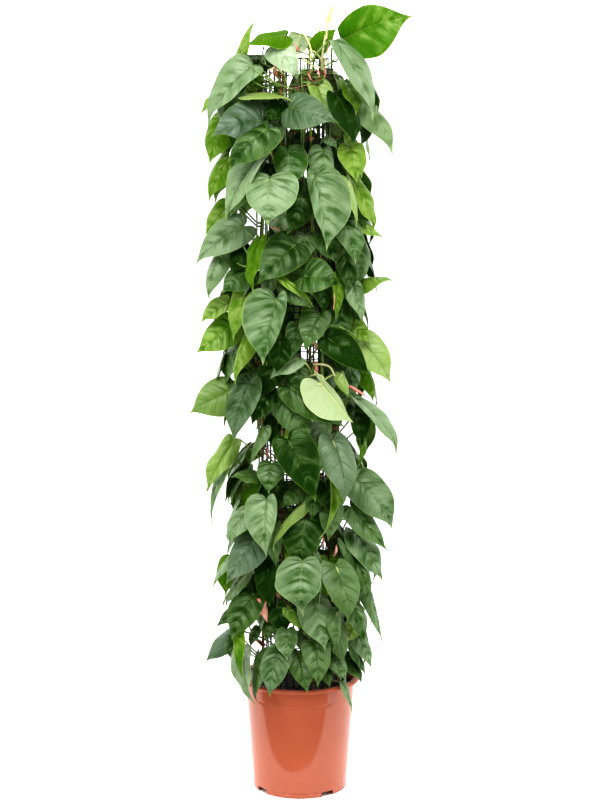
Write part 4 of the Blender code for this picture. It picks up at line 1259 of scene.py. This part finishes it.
crossed = 0
for number, row in enumerate(MORE_LEAVES, start=FIRST_SEED):
    base, tip, width, turn, tilt, bow, tone, light = row
    young_glow = tone == "bright" and light < YOUNG_GLOW_BELOW
    nature = leaf_nature(random.Random(number), light, YOUNG_GLOW_YELLOW if young_glow else 0.0)
    nature.update(SHAPES.get(number, {}))
    pile = tier_pile(base[2] * CM, tone)
    base, tip, width = Vector(base) * CM, Vector(tip) * CM, width * CM
    crossed += grow_leaf(pile, base, tip, width, turn, tilt, bow, nature, SHIFTS)
print("front leaves that still cross", crossed)

# --- Leaves of the sides, the back and the inside ------------------------------------------------
# The plant is as full all round. These leaves hang like shingles, a little further out at the tip,
# and each new one takes the emptiest of several places.
SIDE_LEAVES = 130
INNER_LEAVES = 90
SIDE_HEIGHTS = (0.27, 1.38)
INNER_HEIGHTS = (0.27, 1.40)
FRONT_REACH = 17.6  # the most centimetres that a tip may stand out from the axis
SIDE_LOSS = 3.6  # and how much less that is at the sides
HALF_BLADE = 3.2 * CM  # how far a blade's middle keeps from a clearing's edge
# Openings in the leafage where light shows through: the middle's x and z, and the radius.
CLEARINGS = [
    (4.0, 130.5, 2.0), (1.0, 120.0, 2.2), (-8.6, 109.6, 2.4), (2.6, 88.0, 2.2), (-5.2, 80.8, 1.2),
    (8.9, 73.0, 1.2), (-9.8, 71.5, 3.2), (-6.4, 67.6, 1.6), (-1.9, 63.8, 1.2), (1.0, 62.8, 0.6),
    (9.2, 56.5, 2.0), (3.0, 49.2, 1.2), (-6.2, 44.8, 1.2), (-9.0, 30.6, 1.8), (-5.6, 30.6, 1.4),
    (-3.0, 142.0, 5.0), (2.5, 143.0, 4.0), (13.8, 122.0, 1.6), (14.5, 127.0, 1.0),
]  # fmt: skip
EYE_DISTANCE = 4.0
EYE_HEIGHT = 1.4


def shown_at(spot):
    """Where a place shows, in x and z, on the upright plane through the pot's middle."""
    share = EYE_DISTANCE / (EYE_DISTANCE + spot.y)
    return Vector((spot.x * share, EYE_HEIGHT + (spot.z - EYE_HEIGHT) * share))


def in_clearing(spot, half):
    """Whether a blade of this half size round a place would cover a clearing."""
    here = shown_at(spot)
    for x, z, radius in CLEARINGS:
        if (here - Vector((x, z)) * CM).length < radius * CM + half:
            return True
    return False


def emptiest(draw, choices, turns, heights, reach):
    """The place, as (turn, height), that is furthest from the blades already grown."""
    best, best_gap, tried = None, -1, 0
    while tried < choices:
        turn, height = draw.uniform(*turns), draw.uniform(*heights)
        spot = COLUMN_AXIS + outward(turn) * reach + UP * height
        if in_clearing(spot, HALF_BLADE):
            continue
        tried += 1
        gap = min((spot - middle).length for middle, _, _, kind in grown if kind == "leaf")
        if gap > best_gap:
            best, best_gap = (turn, height), gap
    return best


def hanging_leaf(draw, turn, height, reach, size, lean):
    """Grows one leaf whose blade hangs outside the column at this turn and height."""
    swing = draw.uniform(-16, 16)
    half_drop = 0.5 * size * math.cos(lean)
    base = COLUMN_AXIS + outward(turn) * reach + UP * (height + half_drop)
    widest = (FRONT_REACH - SIDE_LOSS * math.sin(math.radians(turn)) ** 2) * CM
    tip_reach = min(reach + size * math.sin(lean), widest)
    tip = COLUMN_AXIS + outward(turn + swing) * tip_reach + UP * (height - half_drop)
    tone = draw.choices(["dark", "grey", "bright"], [5, 3, 2])[0]
    yellow = draw.uniform(0, 0.5) if tone == "bright" else 0.0
    nature = leaf_nature(draw, draw.uniform(0.2, 0.9), yellow)
    width = size * draw.uniform(0.62, 0.82)
    face_turn = turn + swing * 0.5 + draw.uniform(-18, 18)
    tilt = draw.uniform(0, 30)
    bow = draw.uniform(0.05, 0.11)
    pile = tier_pile(base.z, tone)
    return grow_leaf(pile, base, tip, width, face_turn, tilt, bow, nature, SHIFTS)


draw = random.Random(29)
crossed = 0
for _ in range(SIDE_LEAVES):
    reach = draw.uniform(10.0, 12.5) * CM
    place = emptiest(draw, 14, (60, 300), SIDE_HEIGHTS, reach + 2 * CM)
    size = (8.2 + 2.4 * place[1] / 1.4 + draw.uniform(-1.2, 1.2)) * CM
    lean = math.radians(draw.uniform(18, 42))
    crossed += hanging_leaf(draw, *place, reach, size, lean)
for _ in range(INNER_LEAVES):
    reach = draw.uniform(8.2, 9.2) * CM
    place = emptiest(draw, 10, (-180, 180), INNER_HEIGHTS, reach)
    size = draw.uniform(6.0, 8.5) * CM
    lean = math.radians(draw.uniform(5, 20))
    crossed += hanging_leaf(draw, *place, reach, size, lean)
print("side and inner leaves that still cross", crossed)

for (tier, slot), pile in piles.items():
    surfaces = (UPPER_SKINS[slot], UNDER_SKINS[slot], stalk_skin)
    finish_pile(f"{slot}_{tier}_group", pile, surfaces)

# --- Sheaths, roots and shoots -------------------------------------------------------------------
# Each new leaf comes out of a papery pink sheath that dries and hangs on at the node. Short brown
# roots grip the mesh, and pale new shoots stand up from the tops of the stems.
SHOOTS = [  # places along it in centimetres, then its radius in millimetres at each
    ([(5.0, -5.8, 147.6), (5.0, -5.8, 149.4), (5.3, -5.9, 151.4),
      (5.9, -6.0, 152.9), (7.5, -6.2, 154.2)],
     [1.8, 2.6, 5.0, 3.6, 0.5]),
    ([(5.6, -5.7, 150.6), (5.8, -5.8, 152.6), (6.1, -5.9, 153.8), (6.5, -6.0, 154.9)],
     [3.2, 3.4, 1.8, 0.4]),
    ([(3.5, -5.0, 147.6), (3.6, -5.0, 149.6), (3.5, -5.0, 151.7)], [1.4, 2.0, 0.4]),
    ([(-7.4, -3.6, 146.0), (-7.8, -3.8, 148.4), (-8.4, -4.0, 149.8), (-7.6, -4.0, 150.6)],
     [0.8, 1.0, 1.0, 0.4]),
    ([(4.5, -5.6, 139.0), (4.7, -5.8, 143.4), (5.6, -6.0, 147.3)], [2.2, 2.0, 1.6]),
    ([(4.2, -5.4, 140.0), (4.2, -5.4, 144.0), (4.8, -5.8, 148.3)], [2.4, 2.6, 2.2]),
    ([(0.5, -5.8, 145.4), (2.4, -5.9, 145.3), (3.7, -5.6, 144.2), (4.2, -5.4, 142.6)],
     [1.4, 2.0, 2.0, 1.4]),
    ([(-0.2, -6.2, 144.8), (1.0, -6.6, 143.6), (2.6, -6.8, 142.5), (3.9, -6.8, 142.3)],
     [1.4, 1.9, 1.8, 1.4]),
    ([(-6.0, -6.4, 141.8), (-4.6, -7.0, 142.1), (-3.0, -7.2, 141.0), (-2.4, -7.0, 139.2)],
     [1.4, 1.8, 1.8, 1.4]),
    ([(2.6, -8.6, 86.3), (4.4, -9.6, 86.4), (5.8, -10.2, 85.9), (6.6, -10.4, 84.3)],
     [2.0, 2.2, 2.2, 1.8]),
    ([(2.0, -9.6, 84.2), (3.1, -11.4, 84.7), (4.2, -12.6, 84.5),
      (4.4, -13.2, 83.5), (4.0, -13.0, 82.7)],
     [1.8, 2.2, 2.4, 2.3, 2.0]),
    ([(0.4, -8.0, 80.0), (-0.8, -9.4, 82.4), (-1.0, -9.0, 85.6)], [1.6, 2.2, 1.8]),
]
LOOPS = [  # green stalks with no blade in sight, listed as the shoots are
    ([(3.9, -6.8, 142.3), (5.2, -7.2, 142.8), (6.6, -7.4, 143.9)], [1.4, 1.4, 1.4]),
    ([(-0.2, -5.6, 145.2), (1.2, -6.2, 144.8), (2.6, -6.4, 143.8), (3.5, -6.2, 142.6)],
     [1.3, 1.5, 1.5, 1.3]),
    ([(-8.6, -7.4, 141.8), (-6.2, -8.0, 140.2), (-3.6, -8.2, 139.0), (-1.2, -8.0, 138.2)],
     [1.4, 1.6, 1.6, 1.4]),
    ([(-8.8, -7.0, 139.7), (-7.4, -7.4, 138.9), (-6.2, -7.2, 138.4)], [1.4, 1.5, 1.4]),
    ([(-7.2, -7.2, 140.2), (-5.6, -7.8, 138.4), (-4.0, -8.0, 136.2)], [1.4, 1.6, 1.4]),
    ([(-6.8, -4.8, 146.2), (-7.0, -5.2, 144.8), (-6.4, -6.0, 142.8)], [1.6, 1.6, 1.4]),
    ([(-1.6, -5.4, 144.4), (-0.6, -5.0, 145.4), (0.2, -4.4, 146.4)], [1.6, 1.6, 1.4]),
    ([(-1.0, -6.8, 140.0), (0.6, -7.2, 141.6), (1.0, -6.6, 143.6)], [1.4, 1.5, 1.3]),
    ([(4.4, -8.4, 78.0), (4.3, -8.8, 85.0), (4.4, -8.8, 93.0)], [2.0, 2.2, 2.0]),
    ([(2.4, -8.6, 84.0), (2.4, -8.8, 85.4), (3.0, -8.8, 86.4)], [1.6, 1.7, 1.6]),
    ([(-10.2, -6.0, 111.8), (-8.0, -8.4, 109.2), (-6.6, -9.0, 106.0)], [1.5, 1.6, 1.5]),
    ([(-10.8, -5.6, 108.6), (-9.4, -7.2, 106.8), (-7.0, -8.6, 106.4)], [1.6, 1.7, 1.6]),
    ([(-12.4, -5.0, 105.6), (-11.0, -6.6, 105.0), (-8.6, -8.0, 104.6)], [1.5, 1.6, 1.5]),
    ([(5.1, -9.8, 93.4), (6.3, -11.2, 94.1), (7.8, -11.6, 93.7),
      (9.7, -10.4, 92.5), (11.3, -6.2, 90.5)],
     [1.5, 1.6, 1.6, 1.5, 1.4]),
]
STRANDS = 56  # more stalks and roots that run up and down over the mesh
STRAND_REACH = 7.6 * CM
STRAND_RADII = [1.2, 1.6, 1.7, 1.7, 1.5, 0.9]
STRAND_TOP = 144  # in centimetres
TANGLED_STALKS = 64  # round the top of the column, where the shoots turn about
TANGLED_RADII = [1.0, 1.3, 1.4, 1.3, 0.8]
SPIKES = [  # the pink points of sheaths that are still closed, listed in the same way
    ([(8.2, -9.4, 82.7), (9.8, -10.2, 82.1), (11.4, -10.6, 81.2), (12.9, -10.8, 80.2)],
     [1.4, 2.8, 2.6, 0.5]),
    ([(6.2, -10.4, 101.4), (6.5, -10.6, 99.2), (6.3, -10.7, 97.0)], [0.9, 1.2, 0.8]),
    ([(2.7, -8.0, 84.0), (3.1, -8.3, 85.4), (3.2, -8.4, 86.6)], [2.2, 3.0, 1.2]),
    ([(2.9, -7.6, 89.2), (3.4, -7.9, 90.2), (3.9, -8.0, 91.0)], [1.8, 2.6, 1.0]),
    ([(-8.0, -9.4, 37.2), (-7.3, -9.8, 38.6), (-6.4, -10.0, 40.2)], [2.4, 4.2, 1.2]),
    ([(1.2, -7.6, 131.0), (1.6, -8.0, 132.0), (1.9, -8.1, 133.2)], [1.6, 2.4, 0.8]),
    ([(-0.2, -5.8, 145.2), (-0.6, -6.0, 146.0), (-1.0, -6.0, 146.8)], [1.6, 2.0, 0.8]),
    ([(1.2, -7.0, 141.4), (1.7, -7.2, 140.8), (2.1, -7.2, 139.8)], [1.4, 2.2, 1.0]),
    ([(3.2, -7.0, 142.0), (3.6, -7.0, 141.2), (3.6, -6.8, 140.4)], [1.2, 1.8, 1.0]),
    ([(4.6, -6.2, 142.2), (4.8, -6.4, 141.4), (4.7, -6.4, 140.4)], [1.2, 1.8, 0.8]),
    ([(6.6, -8.4, 48.8), (7.0, -8.6, 50.0), (7.0, -8.4, 51.0)], [1.6, 2.8, 1.0]),
    ([(4.2, -8.4, 50.8), (4.6, -8.6, 51.8), (4.4, -8.6, 52.8)], [1.2, 1.8, 0.8]),
    ([(-6.0, -7.6, 68.2), (-6.3, -8.0, 69.2), (-6.0, -8.2, 70.2)], [1.2, 1.8, 0.8]),
    ([(-4.4, -7.8, 69.6), (-4.3, -8.2, 70.6), (-4.5, -8.2, 71.4)], [1.0, 1.6, 0.7]),
    ([(-0.6, -8.0, 62.6), (-0.3, -8.2, 63.6), (0.0, -8.2, 64.4)], [1.2, 1.8, 0.8]),
    ([(-5.6, -8.6, 112.4), (-4.4, -8.8, 112.2), (-3.4, -8.8, 111.4)], [1.0, 1.6, 1.0]),
]
BROAD_SHEATHS = [  # stalk end, tip, width and turn, in centimetres and degrees
    ((-8.1, -9.8, 40.6), (-6.2, -10.4, 35.8), 1.9, -10),
    ((3.0, -8.4, 86.8), (3.3, -9.0, 84.2), 1.0, 10),
    ((2.2, -8.0, 91.4), (3.1, -8.8, 89.8), 0.9, 0),
]
SHEATH_SHARE = 0.6  # of the nodes
SHEATH_FORM = {"lobe": 0.1, "wave": 0.05, "quilt": 0.0}
ROOTS_AT_A_NODE = 5
ROOT_RADII = [1.0, 0.9, 0.7, 0.3]


def papery(name, first, second, third):
    """A dry, streaked, thin skin of three tones."""
    made, tree, shader = surface_tree(name)
    place = own_place(tree)
    broad = speckle(tree, place, 45, 2)
    streaks = speckle(tree, place, 380, 4, 0.6)
    colour = blended(tree, ranged(tree, broad, 0.35, 0.65), first, second)
    colour = blended(tree, ranged(tree, streaks, 0.45, 0.7, 0.0, 0.7), colour, third)
    coat(tree, shader, colour, ranged(tree, streaks, 0.3, 0.7, 0.5, 0.7))
    raise_by(tree, shader, streaks, 0.3 * MM, 0.7)
    return made


pink_sheath = papery(
    "pink_sheath", (0.50, 0.15, 0.10, 1), (0.56, 0.32, 0.24, 1), (0.26, 0.08, 0.04, 1)
)
dry_sheath = papery(
    "dry_sheath", (0.30, 0.13, 0.05, 1), (0.46, 0.27, 0.13, 1), (0.14, 0.05, 0.02, 1)
)
root_skin = papery(
    "root_skin", (0.10, 0.035, 0.015, 1), (0.22, 0.09, 0.04, 1), (0.03, 0.02, 0.012, 1)
)
shoot_skin = papery(
    "shoot_skin", (0.30, 0.38, 0.12, 1), (0.48, 0.47, 0.28, 1), (0.42, 0.20, 0.12, 1)
)


def rods_object(name, rods, surface, sides=8, steps=5):
    """One piece from several tapered rods, listed as the shoots are."""
    points, faces, count = [], [], 0
    for corners, sizes in rods:
        path = smooth_path(np.array(corners) * CM, steps)
        places = np.linspace(0, 1, len(path))
        radii = np.interp(places, np.linspace(0, 1, len(sizes)), sizes) * MM
        rod_points, rod_faces = rod(path, radii, sides)
        points.append(rod_points)
        faces += [tuple(count + corner for corner in face) for face in rod_faces]
        count += len(rod_points)
    mesh = mesh_of(name, np.vstack(points), faces)
    made = add_object(name, mesh, surface)
    smooth(mesh, 60)
    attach(made, "root")


rods_object("new_shoots", SHOOTS, shoot_skin)
rods_object("looped_stalks", LOOPS, stalk_skin)
rods_object("pink_spikes", SPIKES, pink_sheath)

draw = random.Random(41)
strands = {"green": [], "brown": []}
for number in range(STRANDS):
    turn, low_end = draw.uniform(-80, 80) + 180 * (number % 3 == 0), draw.uniform(24, 128)
    length = min(draw.uniform(12, 34), STRAND_TOP - low_end)
    corners = []
    for share in np.linspace(0, 1, len(STRAND_RADII)):
        reach = STRAND_REACH + draw.uniform(0, 5) * MM
        spot = COLUMN_AXIS + outward(turn + draw.uniform(-4, 4)) * reach
        corners.append(tuple(spot / CM + UP * (low_end + length * share)))
    kind = "brown" if number % 4 == 0 else "green"
    strands[kind].append((corners, STRAND_RADII))
rods_object("green_strands", strands["green"], stalk_skin, 6, 3)
rods_object("brown_strands", strands["brown"], root_skin, 6, 3)

draw = random.Random(67)
tangle = {"green": [], "brown": []}
for number in range(TANGLED_STALKS):
    turn, level = draw.uniform(-110, 110), draw.uniform(136.5, 142.5)
    swing, climb = draw.uniform(25, 80) * draw.choice([-1, 1]), draw.uniform(-3.5, 2.5)
    corners = []
    for share in np.linspace(0, 1, len(TANGLED_RADII)):
        reach = draw.uniform(6.2, 8.4) * CM
        spot = COLUMN_AXIS + outward(turn + swing * share) * reach
        sag = draw.uniform(-0.5, 0.5) - 1.5 * share * (1 - share)
        corners.append(tuple(spot / CM + UP * (level + climb * share + sag)))
    kind = "brown" if number % 5 == 0 else "green"
    tangle[kind].append((corners, TANGLED_RADII))
rods_object("tangled_stalks", tangle["green"], stalk_skin, 6, 4)
rods_object("tangled_roots", tangle["brown"], root_skin, 6, 4)

draw = random.Random(5)
roots, sheaths = [], new_pile()
for name, turn, top in STEMS:
    for level in node_heights(top):
        node = stem_point(turn, level)
        for _ in range(ROOTS_AT_A_NODE):
            sweep = draw.uniform(8, 38) * draw.choice([-1, 1])
            rise = draw.uniform(-1.6, 1.2)
            length = draw.uniform(1.0, 2.4)
            corners = []
            for share in (0, 0.4, 0.75, 1):
                out = outward(turn + sweep * share * length / 2)
                spot = COLUMN_AXIS + out * (STEM_CLIMB_RADIUS + (0.12 - 0.35 * share) * CM)
                spot += UP * (level + rise * share * length * 0.6 * CM)
                corners.append(tuple(spot / CM))
            roots.append((corners, ROOT_RADII))
        if draw.random() < SHEATH_SHARE:
            out = outward(turn + draw.uniform(-40, 40))
            base = node + out * STEM_RADIUS
            lean = out * draw.uniform(0.6, 1.6) + UP * draw.uniform(-1.4, 1.6)
            tip = base + lean * draw.uniform(1.0, 2.0) * CM
            nature = leaf_nature(draw, draw.uniform(0, 1))
            nature.update(SHEATH_FORM, camber=2.4)
            face_turn = turn + draw.uniform(-60, 60)
            width = draw.uniform(4, 8) * MM
            sheet, _, _ = blade_sheet(base, tip, width, face_turn, 20, 0.15, nature)
            add_blade(sheaths, sheet, nature)
rods_object("gripping_roots", roots, root_skin, 5, 3)
broad = new_pile()
for base, tip, width, turn in BROAD_SHEATHS:
    nature = leaf_nature(draw)
    nature.update(SHEATH_FORM, camber=1.6)
    base, tip = Vector(base) * CM, Vector(tip) * CM
    sheet, _, _ = blade_sheet(base, tip, width * CM, turn, 10, 0.1, nature)
    add_blade(broad, sheet, nature)
finish_pile("pink_sheaths", broad, (pink_sheath, pink_sheath))
finish_pile("dry_sheaths", sheaths, (dry_sheath, pink_sheath))

# --- Floor, light and camera ---------------------------------------------------------------------
# A white studio floor that runs on to a white surround, with a softbox on each side of the camera
# and one above. The flag is a black card that only shows as the dark middle of reflections.
FLOOR_HALF = 300
FLAG_LEFT, FLAG_RIGHT, FLAG_NEAR, FLAG_FAR = -2.2, 2.2, -5.0, -0.20
FLAG_LIFT = 2 * MM
FLAG_TURN = -13
LENS = 93.1
SENSOR_WIDTH = 36
CAMERA_DIP = 8.8  # degrees below level

floor_surface, tree, shader = surface_tree("studio_floor")
place = own_place(tree)
paper = speckle(tree, place, 3, 3)
colour = blended(tree, paper, (0.90, 0.90, 0.90, 1), (0.92, 0.92, 0.92, 1))
coat(tree, shader, colour, ranged(tree, paper, 0.0, 1.0, 0.8, 0.9))


def level_sheet(name, left, right, near, far, height):
    """A level rectangle."""
    corners = [(left, near), (right, near), (right, far), (left, far)]
    return mesh_of(name, [(x, y, height) for x, y in corners], [(0, 1, 2, 3)])


floor_mesh = level_sheet("studio_floor", -FLOOR_HALF, FLOOR_HALF, -FLOOR_HALF, FLOOR_HALF, 0)
add_object("studio_floor", floor_mesh, floor_surface)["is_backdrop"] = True

black_card, _, shader = surface_tree("black_card")
shader.inputs["Base Color"].default_value = (0.01, 0.01, 0.01, 1)
shader.inputs["Roughness"].default_value = 1.0
flag_mesh = level_sheet("black_flag", FLAG_LEFT, FLAG_RIGHT, FLAG_NEAR, FLAG_FAR, FLAG_LIFT)
flag = add_object("black_flag", flag_mesh, black_card)
flag.rotation_euler = (0, 0, math.radians(FLAG_TURN))
flag.visible_camera = False
flag.visible_shadow = False
flag.visible_diffuse = False
flag.visible_transmission = False
flag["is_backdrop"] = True


def softbox(name, place, target, width, height, power):
    """A lit rectangle that faces a target and doesn't show itself."""
    lamp = bpy.data.lights.new(name, "AREA")
    lamp.shape = "RECTANGLE"
    lamp.size = width
    lamp.size_y = height
    lamp.energy = power
    made = bpy.data.objects.new(name, lamp)
    bpy.context.scene.collection.objects.link(made)
    made.location = place
    made.rotation_euler = (Vector(target) - Vector(place)).to_track_quat("-Z", "Y").to_euler()
    made.visible_camera = False


softbox("softbox_left", (-2.6, -1.9, 1.7), (0, 0, 0.7), 1.3, 2.6, 50)
softbox("softbox_right", (2.6, -1.9, 1.7), (0, 0, 0.7), 1.3, 2.6, 42)
softbox("softbox_above", (0, -2.0, 3.4), (0, 0, 0.9), 3.0, 1.6, 111)

world = bpy.data.worlds.new("white_surround")
bpy.context.scene.world = world
world.use_nodes = True
tree = world.node_tree
around = put(tree, "ShaderNodeTexCoord").outputs["Generated"]
_, depth, rise = apart(tree, around)
behind = ranged(tree, depth, -0.25, 0.7, 0.05, 2.5)
above = ranged(tree, rise, 0.4, 1.0, 0.0, 0.3)
camera_ray = put(tree, "ShaderNodeLightPath").outputs["Is Camera Ray"]
strength = sums(tree, "MAXIMUM", sums(tree, "ADD", behind, above), camera_ray)
background = tree.nodes["Background"]
background.inputs["Color"].default_value = (1, 1, 1, 1)
tree.links.new(strength, background.inputs["Strength"])

camera_data = bpy.data.cameras.new("camera")
camera_data.lens = LENS
camera_data.sensor_width = SENSOR_WIDTH
camera = bpy.data.objects.new("camera", camera_data)
bpy.context.scene.collection.objects.link(camera)
camera.location = (0, -EYE_DISTANCE, EYE_HEIGHT)
camera.rotation_euler = (math.radians(90 - CAMERA_DIP), 0, 0)
bpy.context.scene.camera = camera
bpy.context.scene.view_settings.view_transform = "Standard"
bpy.context.scene.view_settings.look = "High Contrast"

low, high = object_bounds()
